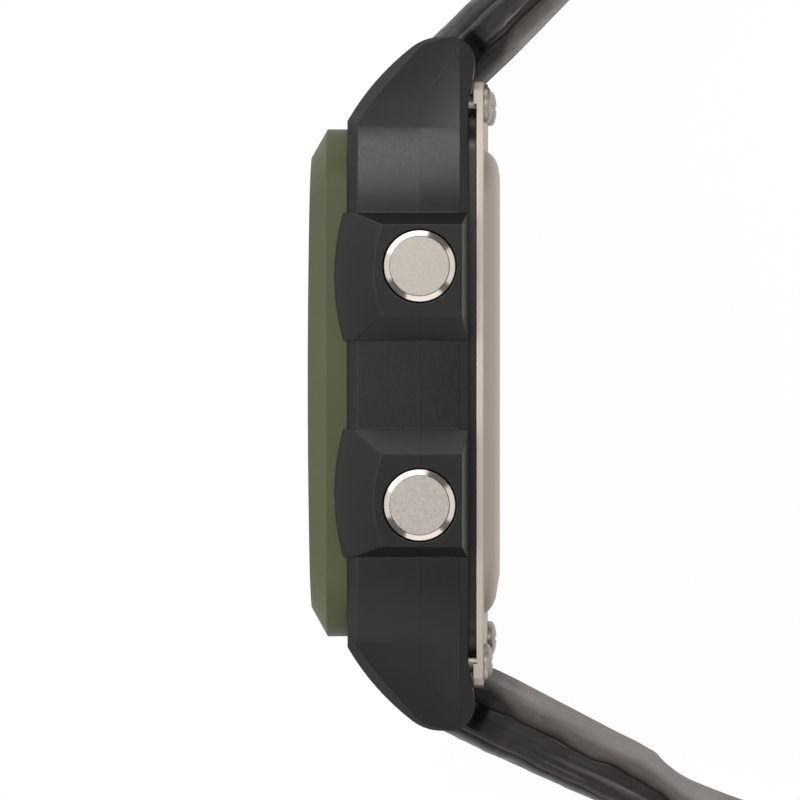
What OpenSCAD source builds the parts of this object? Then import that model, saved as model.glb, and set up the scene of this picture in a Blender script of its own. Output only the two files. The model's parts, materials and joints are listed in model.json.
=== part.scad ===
// Square digital wristwatch with a padded leather strap, open and lying on its side.
// Everything is drawn in the watch's own frame: x towards 3 o'clock, y towards 12 o'clock and z out
// of the dial, with z = 0 on the rear face of the case. It is then turned so that 3 o'clock is up.

/* [Module and case] */
// Width of the electronic module, 9 to 3 o'clock
module_w = 27.6; // [26:0.1:30]
// Length of the electronic module, 6 to 12 o'clock
module_l = 27.6; // [26:0.1:30]
// Thickness of the electronic module
module_h = 5.8; // [5.6:0.1:7]
// Gap all round the module in the case
module_gap = 0.3; // [0.2:0.05:0.5]
// Case wall beside the module at 3 and 9 o'clock
side_wall = 3.2; // [3:0.1:4]
// Case wall beside the module at 12 and 6 o'clock
end_wall = 4.5; // [4.2:0.1:6]
// Space behind the module, up to the rear face
back_space = 1.2; // [1.1:0.1:2]
// Thickness of the front deck that carries the crystal
deck_t = 0.8; // [0.7:0.1:1.2]
// Height of the black rim behind the rear face
rim_h = 0.54; // [0.4:0.02:0.9]
// Height of the parting ridge and the pushers over the rear face
ridge_z = 3.17; // [3.1:0.01:3.3]
// Draft of the case sides, as a slope
draft = 0.05; // [0.02:0.01:0.08]
// Length of the bevel along the front edges of the case
front_bevel = 0.7; // [0.3:0.05:0.9]
// Length of the bevel along the rear edges of the case
rear_bevel = 0.52; // [0.3:0.01:0.6]

/* [Lugs] */
// Width of the gap between two lugs
lug_gap = 22.5; // [20:0.1:23]
// Distance from the spring bar to the tip of the lug
lug_reach = 1.45; // [1.3:0.05:2]
// Height of the spring bar over the rear face
bar_z = 0.9; // [0.7:0.02:1.2]
// How far the lug tips hang behind the rear face
lug_drop = 0.42; // [0.2:0.02:0.8]
// Radius of the lug tip
lug_tip_r = 1.62; // [1.3:0.02:1.8]
// Radius of the long curve from the case front towards the lug tip
lug_curve_r = 16.5; // [14:0.25:24]
// Radius of the turn from that curve into the lug tip
lug_brow_r = 3.2; // [2.8:0.1:4]
// How much each side of the case narrows towards a lug tip
lug_taper = 1.8; // [1:0.1:2.6]

/* [Pusher guards] */
// Height of the guard over the side of the case
guard_h = 1.4; // [1:0.1:1.8]
// Distance of the pushers from the middle of the case
pusher_y = 7.87; // [7.4:0.01:8.2]
// How far the guard reaches from its pusher towards the middle of the side
guard_inner = 4.93; // [4.5:0.01:5.2]
// How far the guard reaches from its pusher towards the lugs
guard_outer = 3.49; // [3.3:0.01:4.2]
// Length of the guard's slope towards the middle of the side
guard_inner_slope = 1.6; // [1:0.1:2]
// Length of the guard's slope towards the lugs
guard_outer_slope = 0.75; // [0.5:0.05:0.9]
// How far the guard rises beside the bezel, over the case front
guard_rise = 0.84; // [0.4:0.02:1]
// Length of the guard's slope towards the front
guard_front_slope = 2.57; // [2:0.01:3]

/* [Pushers] */
// Radius of the pusher cap
pusher_r = 2.35; // [2.2:0.05:2.5]
// Gap around the pusher cap in its bore
pusher_gap = 0.1; // [0.05:0.01:0.15]
// How far the cap stands out of its guard
pusher_out = 0.3; // [0.2:0.05:0.4]
// Travel of a pusher
pusher_travel = 0.9; // [0.5:0.05:1]
// Width of the polished ring around the cap
pusher_ring = 0.38; // [0.2:0.02:0.6]
// Radius of the pusher stem
stem_r = 0.9; // [0.8:0.02:0.95]
// Running clearance of the stem in its tube
stem_gap = 0.05; // [0.02:0.01:0.1]
// Wall of the pusher tube
tube_wall = 0.55; // [0.4:0.05:0.6]

/* [Bezel and crystal] */
// Height of the bezel over the case front, at the middle
bezel_h = 2.69; // [2.5:0.01:3.2]
// Height of the upright wall around the bezel
bezel_wall_h = 1.4; // [1:0.05:1.6]
// How much the bezel front falls away towards 12 and 6 o'clock
bezel_crown = 0.19; // [0.1:0.01:0.3]
// Length of the bezel's bevel
bezel_bevel = 2.2; // [1.4:0.05:2.4]
// Step from the side of the case in to the bezel
bezel_step = 1; // [0.9:0.05:1.3]
// Corner radius of the bezel
bezel_corner = 4; // [3:0.25:6]
// Width of the crystal, 9 to 3 o'clock
crystal_w = 24.6; // [22:0.1:25]
// Length of the crystal, 6 to 12 o'clock
crystal_l = 20.6; // [18:0.1:22]
// Thickness of the crystal
crystal_t = 1.5; // [1:0.05:1.6]
// Width of the crystal's edge that the bezel covers
crystal_lap = 1.1; // [0.8:0.05:1.6]
// Wall of the collar around the crystal
collar_wall = 0.8; // [0.6:0.05:0.9]

/* [Display and electronics] */
// Width of the display glass
lcd_w = 23.4; // [22:0.1:24]
// Length of the display glass
lcd_l = 17; // [15:0.1:18]
// Thickness of the display glass
lcd_t = 1.1; // [0.9:0.05:1.3]
// Thickness of the circuit board
board_t = 0.6; // [0.4:0.05:0.7]
// Diameter of the coin cell
cell_d = 20; // [19:0.1:20.2]
// Thickness of the coin cell
cell_t = 1.6; // [1.4:0.05:1.7]
// Diameter of the buzzer disc
buzzer_d = 25; // [22:0.1:25]

/* [Case back] */
// Thickness of the steel case back
back_t = 0.46; // [0.4:0.01:0.7]
// Height of the raised middle of the case back
boss_h = 0.87; // [0.8:0.01:1.2]
// Radius of a case back screw's head
screw_head_r = 1.2; // [1:0.05:1.3]
// Radius of a case back screw's shank
screw_r = 0.7; // [0.6:0.05:0.8]
// Height of a case back screw's head
screw_head_h = 0.62; // [0.56:0.02:0.9]

/* [Strap] */
// Width of the strap at the lugs
strap_w = 22; // [19.5:0.1:22.2]
// Width of the strap at the buckle
strap_end_w = 18; // [16:0.1:20]
// Thickness of the padded strap
strap_t = 4.6; // [4:0.1:4.8]
// Thickness of the strap where it has no padding
strap_flat_t = 2.3; // [2.1:0.1:2.6]
// Length of the 12 o'clock strap, from spring bar to buckle bar
strap_12_l = 75; // [70:1:85]
// Length of the 6 o'clock strap, from spring bar to tip
strap_6_l = 115; // [105:1:125]
// Angle of the 12 o'clock strap, from straight back
strap_12_angle = 43.8; // [35:0.1:60]
// Angle of the 6 o'clock strap, from straight back
strap_6_angle = 25.8; // [20:0.1:45]
// Radius of the 12 o'clock strap's curl
curl_12_r = 40; // [36:1:45]
// Radius of the 6 o'clock strap's curl
curl_6_r = 60; // [56:1:70]
// Number of holes in the 6 o'clock strap
hole_count = 7; // [5:1:8]
// Distance between two strap holes
hole_pitch = 6; // [5:0.5:7]
// Radius of a strap hole
hole_r = 1; // [0.8:0.05:1.2]
// Distance from a spring bar to the end of the padding
pad_l = 15.6; // [14.5:0.1:30]

/* [Spring bars and buckle] */
// Radius of a spring bar
bar_r = 0.75; // [0.6:0.05:0.8]
// Running clearance around a spring bar
bar_gap = 0.08; // [0.04:0.01:0.1]
// How far a spring bar's tips reach into the lugs
tip_reach = 1; // [0.8:0.05:1.2]
// Radius of a spring bar's tips
tip_r = 0.42; // [0.35:0.01:0.45]
// Clear length of the buckle, from its bar to its crossbar
buckle_l = 12.2; // [11:0.1:14]
// Width of the metal of the buckle
buckle_metal = 2.2; // [1.8:0.1:2.6]
// Thickness of the buckle
buckle_t = 1.8; // [1.5:0.1:2]
// Width of a strap keeper
keeper_w = 4.5; // [3.5:0.1:5.5]
// Thickness of a strap keeper's leather
keeper_t = 1.1; // [0.8:0.1:1.4]

/* [Hidden] */
$fn = 48;

// A hair that cuts and joints pass through a face
eps = 0.02;
// A gap between two pieces of one body that lie on each other
seat_gap = 0.03;

// Case, across
cavity_x = module_w / 2 + module_gap;
cavity_y = module_l / 2 + module_gap;
cavity_corner = 2;
case_x = cavity_x + side_wall;
guard_x = case_x + guard_h;
// Case, along
body_y = cavity_y + end_wall;
strap_gap = 0.65;
bar_y = body_y + strap_gap + strap_t / 2;
lug_y = bar_y + lug_reach;
ear_y = bar_y - 1.35;
shoulder_y = body_y - 1.18;
// Case, deep
case_h = back_space + module_h + 0.2 + deck_t;
deck_z = case_h - deck_t;
rim_inset = 1.1;
rim_y = body_y - 0.1;
back_z = rim_h + back_t + boss_h;
taper_y = body_y - 1.7;
flank_y = body_y - 6.4;
ridge_turn_y = body_y + 0.2;
ridge_fall = 0.3;

// Pushers, measured outwards from the middle of the watch
cap_face_x = guard_x + pusher_out;
cap_t = 0.8;
spring_seat_x = cap_face_x - 3.1;
cap_rim_x = spring_seat_x + pusher_travel + 0.2;
tube_end_x = spring_seat_x + 0.5;
tube_in_r = stem_r + stem_gap;
tube_out_r = tube_in_r + tube_wall;
clip_t = 0.25;
clip_gap = 0.1;
clip_r = 1.5;
groove_r = 0.6;
stem_end_x = cavity_x - 1.2;
seal_w = 0.45;
seal_x = cavity_x + pusher_travel + 0.3 + seal_w / 2;
pusher_bore_r = pusher_r + pusher_gap;

// Bezel and crystal
bezel_x = case_x - bezel_step;
bezel_y = shoulder_y - 0.52;
crystal_corner = 2.5;
crystal_gap = 0.1;
gasket_t = 0.15;
crystal_z = case_h + gasket_t;
collar_top = crystal_z + crystal_t - 0.35;

// Module stack, from the rear
module_z = back_space;
module_top = module_z + module_h;
lcd_z = module_top - lcd_t;
board_z = module_z + 2.3;
board_w = module_w - 5;
board_l = module_l - 2.6;
cell_z = module_z + 0.1;
cell_play = 0.15;
tray_r = cell_d / 2 + cell_play + 1;
clip_reach = tray_r + 0.35;
clip_strip_w = cell_d / 4;
clip_strip_t = 0.15;
strip_l = lcd_w - 1.4;
strip_w = 1.3;
strip_y = lcd_l / 2 - 0.9;
guide_w = lcd_w - 3;
guide_l = lcd_l - 4.2;
guide_t = 0.55;
contact_x = board_w / 2 + 0.3;
blade_t = 0.15;

// Case back
back_x = case_x - 1.1;
mid_end_y = body_y - 0.3;
ear_in_x = lug_gap / 2 + 0.25;
boss_x = back_x - 2.7;
boss_y = body_y - 3.1;
boss_floor_z = -back_z + 0.6;
buzzer_r = buzzer_d / 2;
buzzer_t = 0.35;
coil_r = 0.4;
coil_wire = 0.09;
coil_place = buzzer_r - coil_r - coil_wire - 0.13;
screw_x = lug_gap / 2 + 2.35;
screw_y = body_y - 0.1;
insert_r = screw_r + 0.55;
insert_l = 3.4;
fit = 0.02;
gasket_w = 0.9;
gasket_in_x = cavity_x + 0.6;
gasket_in_y = cavity_y + 0.9;

// Strap; an arm is [angle at the lug, straight length, curl radius, angle at the end, length]
run_12 = 15;
run_6 = 14;
arm_12 = [strap_12_angle, run_12, curl_12_r, 0, strap_12_l];
arm_6 = [strap_6_angle, run_6, curl_6_r, strap_6_angle - 72.5, strap_6_l];
skin = strap_flat_t / 2;
pad_half = strap_t / 2 - skin;
edge_half = 0.85;
pad_fade_start = pad_l - 3.1;
pad_fade_end = pad_l + 1.9;
pad_thin = 0.26;
taper_start = 10;
taper_end = 58;
block_l = 2.2;
bar_bore_r = bar_r + bar_gap;
tail_r = strap_end_w / 2;
// Places across the strap, as a share of its half width
ACROSS = [-1, -0.94, -0.8, -0.45, 0, 0.45, 0.8, 0.94, 1];
PAD_ACROSS = [-0.78, -0.45, 0, 0.45, 0.78];

// Spring bar tips
lug_x = lug_gap / 2;
flange_x = lug_x - 0.55;
flange_t = 0.25;
tube_half = flange_x - tip_reach - 0.1;

// Buckle and keepers
keeper_gap = 0.35;
keeper_in_x = strap_end_w / 2 + keeper_gap;
keeper_head = strap_flat_t + 0.5;
fixed_keeper_s = strap_12_l - keeper_w * 5 / 3;
sliding_keeper_s = strap_12_l - keeper_w * 4;
buckle_in_x = strap_end_w / 2 + 0.45;
buckle_out_x = buckle_in_x + buckle_metal;
buckle_bar_end = buckle_out_x - 0.6;
tongue_r = 0.65;
tongue_half = 1.1;

// Points of an arc from angle a0 to a1
function arc(c, r, a0, a1, n) =
  [for (i = [0:n]) let (a = a0 + (a1 - a0) * i / n) [c[0] + r * cos(a), c[1] + r * sin(a)]];

// Points of the arc of radius r from p to q that bulges to the left of that way
function arc_between(p, q, r, n) =
  let (
    d = q - p,
    c = norm(d),
    side = [d[1], -d[0]] / c,
    m = (p + q) / 2 + side * sqrt(r * r - c * c / 4),
    a0 = atan2(p[1] - m[1], p[0] - m[0]),
    turn = 2 * asin(c / 2 / r)
  )
  arc(m, r, a0, a0 - turn, n);

// Outline of a rectangle with half sides x and y and round corners
function round_box(x, y, r, n = 8) =
  concat(
    arc([x - r, y - r], r, 0, 90, n),
    arc([-x + r, y - r], r, 90, 180, n),
    arc([-x + r, -y + r], r, 180, 270, n),
    arc([x - r, -y + r], r, 270, 360, n)
  );

function reversed(list) = [for (i = [len(list) - 1:-1:0]) list[i]];
function flipped_x(list) = [for (p = reversed(list)) [-p[0], p[1]]];
function flipped_y(list) = [for (p = reversed(list)) [p[0], -p[1]]];

// A quarter outline, from the +x axis to the +y axis, mirrored to a whole one
function whole(quarter) =
  let (half = concat(quarter, flipped_x(quarter)))
  concat(half, flipped_y(half));

module slab(points, z0, z1) {
  translate([0, 0, z0]) linear_extrude(z1 - z0) polygon(points);
}

// Turns the watch frame into the frame of the part: 3 o'clock up, the case back's outer face at x = 0
module placed() {
  translate([-back_z, 0, 0]) rotate([0, -90, 0]) children();
}

// Stands at a pusher, z pointing out along its stem and measured from the middle of the watch
module at_pusher(side, end) {
  translate([0, end * pusher_y, ridge_z]) rotate([0, 90 * side, 0]) children();
}

module at_each_pusher() {
  for (side = [-1, 1], end = [-1, 1]) at_pusher(side, end) children();
}

module at_each_screw() {
  for (side = [-1, 1], end = [-1, 1]) translate([side * screw_x, end * screw_y, 0]) children();
}

// The lug's front, in y and z: a long curve from the case front, then a quicker turn into the tip
function lug_front() =
  let (
    tip_z = lug_tip_r - lug_drop,
    brow = [lug_y - 0.63, tip_z + 2.5],
    turn = arc_between(brow, [lug_y, tip_z + 0.6], lug_brow_r, 5)
  )
  concat(arc_between([shoulder_y, case_h], brow, lug_curve_r, 8), [for (i = [1:5]) turn[i]]);

// Side outline of the case with its lugs, in y and z
function side_half() =
  let (
    tip_z = lug_tip_r - lug_drop
  )
  concat(
    lug_front(),
    arc([lug_y - lug_tip_r, tip_z], lug_tip_r, 0, -96, 10),
    [[ear_y, -lug_drop * 0.66], [rim_y, 0]]
  );

// The places in y where the side of the case changes its slope, and the steps of its curve
function side_rows() =
  concat([for (i = [0:6]) flank_y + (taper_y - flank_y) * i / 6], [ridge_turn_y, lug_y + 0.5]);

// How much the side of the case has come in at y, on its way to a lug tip
function side_taper(y, tip) =
  lug_taper * 0.25 * (pow(ramp(y, flank_y, taper_y), 1.5) + ramp(y, taper_y, ridge_turn_y))
  + (lug_taper * 0.5 + tip) * ramp(y, ridge_turn_y, lug_y + 0.5);

// Plan outline of the case, narrowed all round by inset, with its lug tips narrowed by tip more
function case_plan(inset, tip) =
  whole([for (y = side_rows()) [case_x - inset - side_taper(y, tip), y]]);

// Half the width of the front part of the case at y and z
function front_side(y, z) = case_x - draft * (z - ridge_z) - side_taper(y, ridge_fall);

// Points of the bevel between the front and the side: a little outside the front, then on the side
function front_corners() =
  let (
    line = concat([[0, case_h]], [for (i = [0:6]) [side_rows()[i], case_h]], lug_front()),
    last = len(line) - 1,
    over = 0.3
  )
  [for (i = [0:last]) let (
      p = line[i],
      way = line[min(i + 1, last)] - line[max(i - 1, 0)],
      out = p[0] < shoulder_y ? [0, 1] : [-way[1], way[0]] / norm(way),
      cut = front_bevel * (1 - 0.7 * ramp(p[0], lug_y - 1.6, lug_y)),
      top = p + over * out,
      q = p - cut * out
    ) each [[front_side(p[0], p[1]) - cut - over, top[0], top[1]], [front_side(q[0], q[1]), q[0], q[1]]]];

module case_front_shape() {
  low = -1;
  foot = [for (y = concat([0], side_rows())) [front_side(y, low), y, low]];
  corners = concat(front_corners(), foot);
  hull() for (p = corners, side = [-1, 1], end = [-1, 1])
    translate([side * p[0], end * p[1], p[2]]) cube(eps / 10, center = true);
}

module case_rear_shape() {
  high = case_h + 1;
  edge = draft * (ridge_z - rear_bevel);
  hull() {
    slab(case_plan(draft * (ridge_z - high), 0), high, high + eps);
    slab(case_plan(edge, 0), rear_bevel, rear_bevel + eps);
    slab(case_plan(edge + rear_bevel, 0), 0, eps);
    slab(case_plan(edge + rear_bevel + lug_drop + 0.1, 0), -lug_drop - 0.1, -lug_drop);
  }
}

// A raised guard around one pusher, in the pusher's y direction and from the case side outwards
module guard(side, end) {
  inner = -guard_inner;
  outer = guard_outer;
  top_z = case_h + guard_rise;
  flat_z = top_z - 0.59 - guard_front_slope;
  flat_in = inner + guard_inner_slope;
  flat_out = outer - guard_outer_slope;
  flat_rear_z = rear_bevel * 0.75;
  bulge = arc_between([flat_in, flat_z], [flat_out, flat_z], 9, 8);
  foot_x = bezel_x + 0.25;
  foot_rise = 0.59;
  foot_half = (outer - inner) / 2;
  foot_r = (foot_half * foot_half + foot_rise * foot_rise) / 2 / foot_rise;
  foot = arc_between([inner, top_z - foot_rise], [outer, top_z - foot_rise], foot_r, 8);
  hull() {
    side_slab(side, end, foot_x, foot_x + eps, concat([[inner, 0]], foot, [[outer, 0]]));
    side_slab(side, end, case_x, case_x + eps,
      concat([[inner, 0]], [for (p = foot) p - [0, front_bevel]], [[outer, 0]]));
    side_slab(side, end, guard_x - eps, guard_x,
      concat([[flat_in, flat_rear_z]], bulge, [[flat_out, flat_rear_z]]));
  }
}

// A thin slab on the side of the case, its points in y from a pusher and in z
module side_slab(side, end, x0, x1, points) {
  span = [for (p = points) [end * (pusher_y + p[0]), p[1]]];
  start = side > 0 ? x0 : -x1;
  translate([start, 0, 0]) rotate([90, 0, 90]) linear_extrude(x1 - x0) polygon(span);
}

module case_solid() {
  profile = concat(side_half(), [for (p = reversed(side_half())) [-p[0], p[1]]]);
  intersection() {
    rotate([90, 0, 90]) linear_extrude(2 * guard_x, center = true) polygon(profile);
    case_front_shape();
    case_rear_shape();
  }
  for (side = [-1, 1], end = [-1, 1]) guard(side, end);
  rim_x = case_x - rim_inset;
  slab(round_box(rim_x, rim_y, 3), -rim_h, eps);
  collar_x = crystal_w / 2 + crystal_gap + collar_wall;
  collar_y = crystal_l / 2 + crystal_gap + collar_wall;
  slab(round_box(collar_x, collar_y, crystal_corner + collar_wall), case_h - eps, collar_top);
}

// Everything that is cut out of the case
module case_cuts() {
  slab(round_box(cavity_x, cavity_y, cavity_corner), -rim_h - 1, deck_z);
  window_x = crystal_w / 2 - crystal_lap;
  window_y = crystal_l / 2 - crystal_lap;
  slab(round_box(window_x, window_y, crystal_corner - 1), deck_z - 1, case_h + 1);
  seat_x = crystal_w / 2 + crystal_gap;
  seat_y = crystal_l / 2 + crystal_gap;
  slab(round_box(seat_x, seat_y, crystal_corner), case_h, collar_top + 1);
  groove_x = gasket_in_x + gasket_w + 0.05;
  groove_y = gasket_in_y + gasket_w + 0.05;
  difference() {
    slab(round_box(groove_x, groove_y, 2.6), -rim_h - 1, 0.11);
    slab(round_box(gasket_in_x - 0.05, gasket_in_y - 0.05, 1.6), -rim_h - 2, 1);
  }
  for (end = [-1, 1]) {
    pocket_l = lug_y - body_y + 1;
    translate([-lug_x, end > 0 ? body_y : -body_y - pocket_l, -2]) cube([lug_gap, pocket_l, case_h + 4]);
    translate([0, end * bar_y, bar_z]) rotate([0, 90, 0])
      cylinder(h = lug_gap + 2 * tip_reach + 0.4, r = tip_r + 0.06, center = true);
  }
  at_each_pusher() {
    translate([0, 0, spring_seat_x]) cylinder(h = 10, r = pusher_bore_r);
    translate([0, 0, cavity_x - 1]) cylinder(h = spring_seat_x - cavity_x + 2, r = tube_out_r + fit);
  }
  at_each_screw() translate([0, 0, -rim_h - 1]) cylinder(h = insert_l + 0.2 + rim_h + 1, r = insert_r + fit);
}

module case_body() {
  color([0.1, 0.1, 0.1]) placed() difference() {
    case_solid();
    case_cuts();
  }
}

module bezel() {
  top = case_h + bezel_h;
  edge_top = top - bezel_crown;
  flat_y = bezel_y - bezel_bevel;
  flat_corner = bezel_corner - 1;
  crown_r = (flat_y * flat_y + bezel_crown * bezel_crown) / 2 / bezel_crown;
  crown = arc_between([-flat_y, edge_top], [flat_y, edge_top], crown_r, 12);
  side_line = concat([[-body_y, case_h], [-body_y, edge_top]], crown, [[body_y, edge_top], [body_y, case_h]]);
  hole_x = crystal_w / 2 + crystal_gap + collar_wall + 0.1;
  hole_y = crystal_l / 2 + crystal_gap + collar_wall + 0.1;
  corner_r = crystal_corner + collar_wall + 0.1;
  color([0.34, 0.34, 0.24]) placed() difference() {
    intersection() {
      hull() {
        slab(round_box(bezel_x, bezel_y, bezel_corner), case_h, case_h + bezel_wall_h);
        slab(round_box(bezel_x - bezel_bevel, flat_y, flat_corner), top - eps, top);
      }
      rotate([90, 0, 90]) linear_extrude(2 * case_x, center = true) polygon(side_line);
    }
    slab(round_box(hole_x, hole_y, corner_r), case_h - 1, crystal_z + crystal_t + 0.05);
    slab(round_box(crystal_w / 2 - crystal_lap, crystal_l / 2 - crystal_lap, 1.6), case_h - 1, top + 1);
  }
}

module crystal() {
  color([0.75, 0.8, 0.82, 0.5]) placed()
    slab(round_box(crystal_w / 2, crystal_l / 2, crystal_corner), crystal_z, crystal_z + crystal_t);
}

module crystal_gasket() {
  color([0.15, 0.15, 0.15]) placed() difference() {
    slab(round_box(crystal_w / 2, crystal_l / 2, crystal_corner), case_h, crystal_z);
    slab(round_box(crystal_w / 2 - crystal_lap, crystal_l / 2 - crystal_lap, 1.5), case_h - 1, crystal_z + 1);
  }
}

module dial_mask() {
  color([0.12, 0.13, 0.12]) placed() difference() {
    slab(round_box(module_w / 2 - 0.4, module_l / 2 - 0.4, 2), deck_z - 0.18, deck_z);
    slab(round_box(lcd_w / 2 - 1.7, lcd_l / 2 - 1.9, 0.8), deck_z - 1, deck_z + 1);
  }
}

module lcd_panel() {
  color([0.6, 0.63, 0.56]) placed() slab(round_box(lcd_w / 2, lcd_l / 2, 0.3), lcd_z, module_top);
}

// Segments of the digits 0 to 9: top, upper right, lower right, bottom, lower left, upper left, middle
LIT = [
  [1, 1, 1, 1, 1, 1, 0], [0, 1, 1, 0, 0, 0, 0], [1, 1, 0, 1, 1, 0, 1], [1, 1, 1, 1, 0, 0, 1],
  [0, 1, 1, 0, 0, 1, 1], [1, 0, 1, 1, 0, 1, 1], [1, 0, 1, 1, 1, 1, 1], [1, 1, 1, 0, 0, 0, 0],
  [1, 1, 1, 1, 1, 1, 1], [1, 1, 1, 1, 0, 1, 1]
];

// One bar of a digit, its ends pointed
module bar_shape(l, w) {
  e = l / 2 - w * 0.08;
  s = e - w / 2;
  polygon([[-e, 0], [-s, w / 2], [s, w / 2], [e, 0], [s, -w / 2], [-s, -w / 2]]);
}

module digit(n, h) {
  w = h * 0.13;
  l = h * 0.47;
  q = h * 0.24;
  x = l / 2;
  places = [[0, 2 * q, 0], [x, q, 90], [x, -q, 90], [0, -2 * q, 0], [-x, -q, 90], [-x, q, 90], [0, 0, 0]];
  for (i = [0:6]) if (LIT[n][i])
    translate([places[i][0], places[i][1]]) rotate(places[i][2]) bar_shape(l, w);
}

module lcd_digits() {
  big = lcd_l * 0.36;
  small = lcd_l * 0.2;
  step = big * 0.72;
  color([0.08, 0.09, 0.08]) placed() translate([0, 0, module_top]) linear_extrude(0.04) {
    for (i = [0:1]) {
      translate([-step * (2.05 - i), -lcd_l * 0.12]) digit([1, 0][i], big);
      translate([step * (0.45 + i), -lcd_l * 0.12]) digit([5, 8][i], big);
      translate([small * 0.8 * (i + 2.1), lcd_l * 0.25]) digit([3, 6][i], small);
      translate([-step * 0.3, -lcd_l * 0.12 + (i - 0.5) * big * 0.45]) square(big * 0.12, center = true);
    }
    for (i = [0:2]) translate([-small * 0.8 * (3 - i), lcd_l * 0.25])
      if (i == 1) bar_shape(small * 0.45, small * 0.13);
      else digit([6, 0, 9][i], small);
  }
}

module light_guide() {
  color([0.75, 0.78, 0.7]) placed()
    slab(round_box(guide_w / 2, guide_l / 2, 0.4), lcd_z - guide_t - 0.02, lcd_z - 0.02);
}

module module_frame() {
  color([0.85, 0.85, 0.82]) placed() difference() {
    slab(round_box(module_w / 2, module_l / 2, 1.8), module_z, module_top);
    slab(round_box(lcd_w / 2 + 0.1, lcd_l / 2 + 0.1, 0.4), lcd_z - 0.02, module_top + 1);
    slab(round_box(guide_w / 2 + 0.1, guide_l / 2 + 0.1, 0.5), lcd_z - guide_t - 0.05, module_top + 1);
    slab(round_box(board_w / 2 + 0.2, board_l / 2 + 0.2, 0.4), module_z - 1, board_z + board_t + 0.05);
    translate([0, 0, module_z - 1]) cylinder(h = board_z - module_z + 1, r = tray_r + 0.2);
    slab(round_box(clip_strip_w / 2 + 0.2, clip_reach + 0.2, 0.2), module_z - 1, board_z);
    for (end = [-1, 1]) translate([0, end * strip_y, 0])
      slab(round_box(strip_l / 2 + 0.1, strip_w / 2 + 0.1, 0.2), module_z, module_top + 1);
    room = clip_r + 0.3;
    at_each_pusher() translate([-3, -room, board_w / 2 + 0.1]) cube([3 + room, 2 * room, 5]);
    at_each_pusher() translate([-room, -room, board_w / 2 + 0.1]) cube([4, 2 * room, 5]);
  }
}

module contact_strips() {
  color([0.35, 0.4, 0.42]) placed() for (end = [-1, 1]) translate([0, end * strip_y, 0])
    slab(round_box(strip_l / 2, strip_w / 2, 0.15), board_z + board_t, lcd_z);
}

module circuit_board() {
  color([0.12, 0.35, 0.2]) placed() slab(round_box(board_w / 2, board_l / 2, 0.3), board_z, board_z + board_t);
}

module main_chip() {
  s = 2.7;
  color([0.08, 0.08, 0.08]) placed()
    translate([board_w / 2 - s - 0.4, board_l / 2 - s - 0.15, board_z - 0.8]) cube([s, s, 0.8]);
}

module quartz_can() {
  l = 4.6;
  r = 0.7;
  color([0.78, 0.78, 0.76]) placed()
    translate([-board_w / 2 + 0.4, board_l / 2 - r - 0.3, board_z - r])
      rotate([0, 90, 0]) cylinder(h = l, r = r);
}

// Stands at the spring between the buzzer and the circuit board, beside the battery tray
module at_buzzer_spring() {
  rotate(225) translate([coil_place, 0, 0]) children();
}

module battery_tray() {
  color([0.2, 0.2, 0.2]) placed() difference() {
    translate([0, 0, module_z]) cylinder(h = board_z - module_z, r = tray_r);
    translate([0, 0, module_z - 1]) cylinder(h = board_z - module_z + 2, r = cell_d / 2 + cell_play);
    slab(round_box(clip_strip_w / 2 + 0.5, clip_reach, 0.2), module_z - 1, module_z + clip_strip_t + 0.1);
    at_buzzer_spring() translate([0, 0, -5]) cylinder(h = 12, r = coil_r + coil_wire + 0.2);
  }
}

module battery() {
  rim = 0.35;
  color([0.8, 0.8, 0.8]) placed() translate([0, 0, cell_z + clip_strip_t + 0.05]) rotate_extrude()
    polygon([[0, 0], [cell_d / 2 - 0.3, 0], [cell_d / 2, 0.3], [cell_d / 2, cell_t - rim],
      [cell_d / 2 - 1, cell_t - rim], [cell_d / 2 - 1.2, cell_t], [0, cell_t]]);
}

module battery_clip() {
  reach = clip_reach;
  w = clip_strip_w;
  color([0.7, 0.7, 0.68]) placed() translate([-w / 2, 0, 0]) {
    translate([0, -reach, module_z + 0.05]) cube([w, 2 * reach, clip_strip_t]);
    for (end = [-1, 1]) translate([0, end > 0 ? reach - clip_strip_t : -reach, module_z + 0.05])
      cube([w, clip_strip_t, board_z - module_z - 0.05]);
  }
}

// Thin spring contacts on the board's edge, one in front of each pusher stem
module button_contacts() {
  h = 1.6;
  foot = 0.9;
  wide = 2;
  color([0.82, 0.7, 0.35]) placed() for (side = [-1, 1], end = [-1, 1])
    translate([0, end * pusher_y - wide / 2, board_z]) {
      blade_x = side > 0 ? contact_x : -contact_x - blade_t;
      foot_x = side > 0 ? contact_x + blade_t - foot : -contact_x - blade_t;
      translate([blade_x, 0, -h]) cube([blade_t, wide, h]);
      translate([foot_x, 0, -blade_t]) cube([foot, wide, blade_t]);
    }
}

module buzzer_disc() {
  color([0.8, 0.68, 0.35]) placed() {
    translate([0, 0, boss_floor_z]) cylinder(h = 0.15, r = buzzer_r);
    translate([0, 0, boss_floor_z + 0.1]) cylinder(h = buzzer_t - 0.1, r = buzzer_r - 2.4);
  }
}

// Wire of a coil spring along z from 0 to l, its end turns running out flat
module coil(l, r, wire, turns) {
  per_turn = 10;
  sides = 6;
  steps = per_turn * turns;
  rings = [for (i = [0:steps]) let (a = 360 * i / per_turn, z = wire + (l - 2 * wire) * i / steps)
    [for (k = [0:sides - 1]) let (b = 360 * k / sides, q = r + wire * cos(b))
      [q * cos(a), q * sin(a), z + wire * sin(b)]]];
  points = [for (ring = rings) each ring];
  last = steps * sides;
  sheet = [for (i = [0:steps - 1], k = [0:sides - 1]) let (
      p = i * sides + k,
      q = i * sides + (k + 1) % sides
    ) each [[p, q, q + sides], [p, q + sides, p + sides]]];
  start = [for (k = [1:sides - 2]) [0, k + 1, k]];
  end = [for (k = [1:sides - 2]) [last, last + k, last + k + 1]];
  polyhedron(points, concat(sheet, start, end));
}

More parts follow.
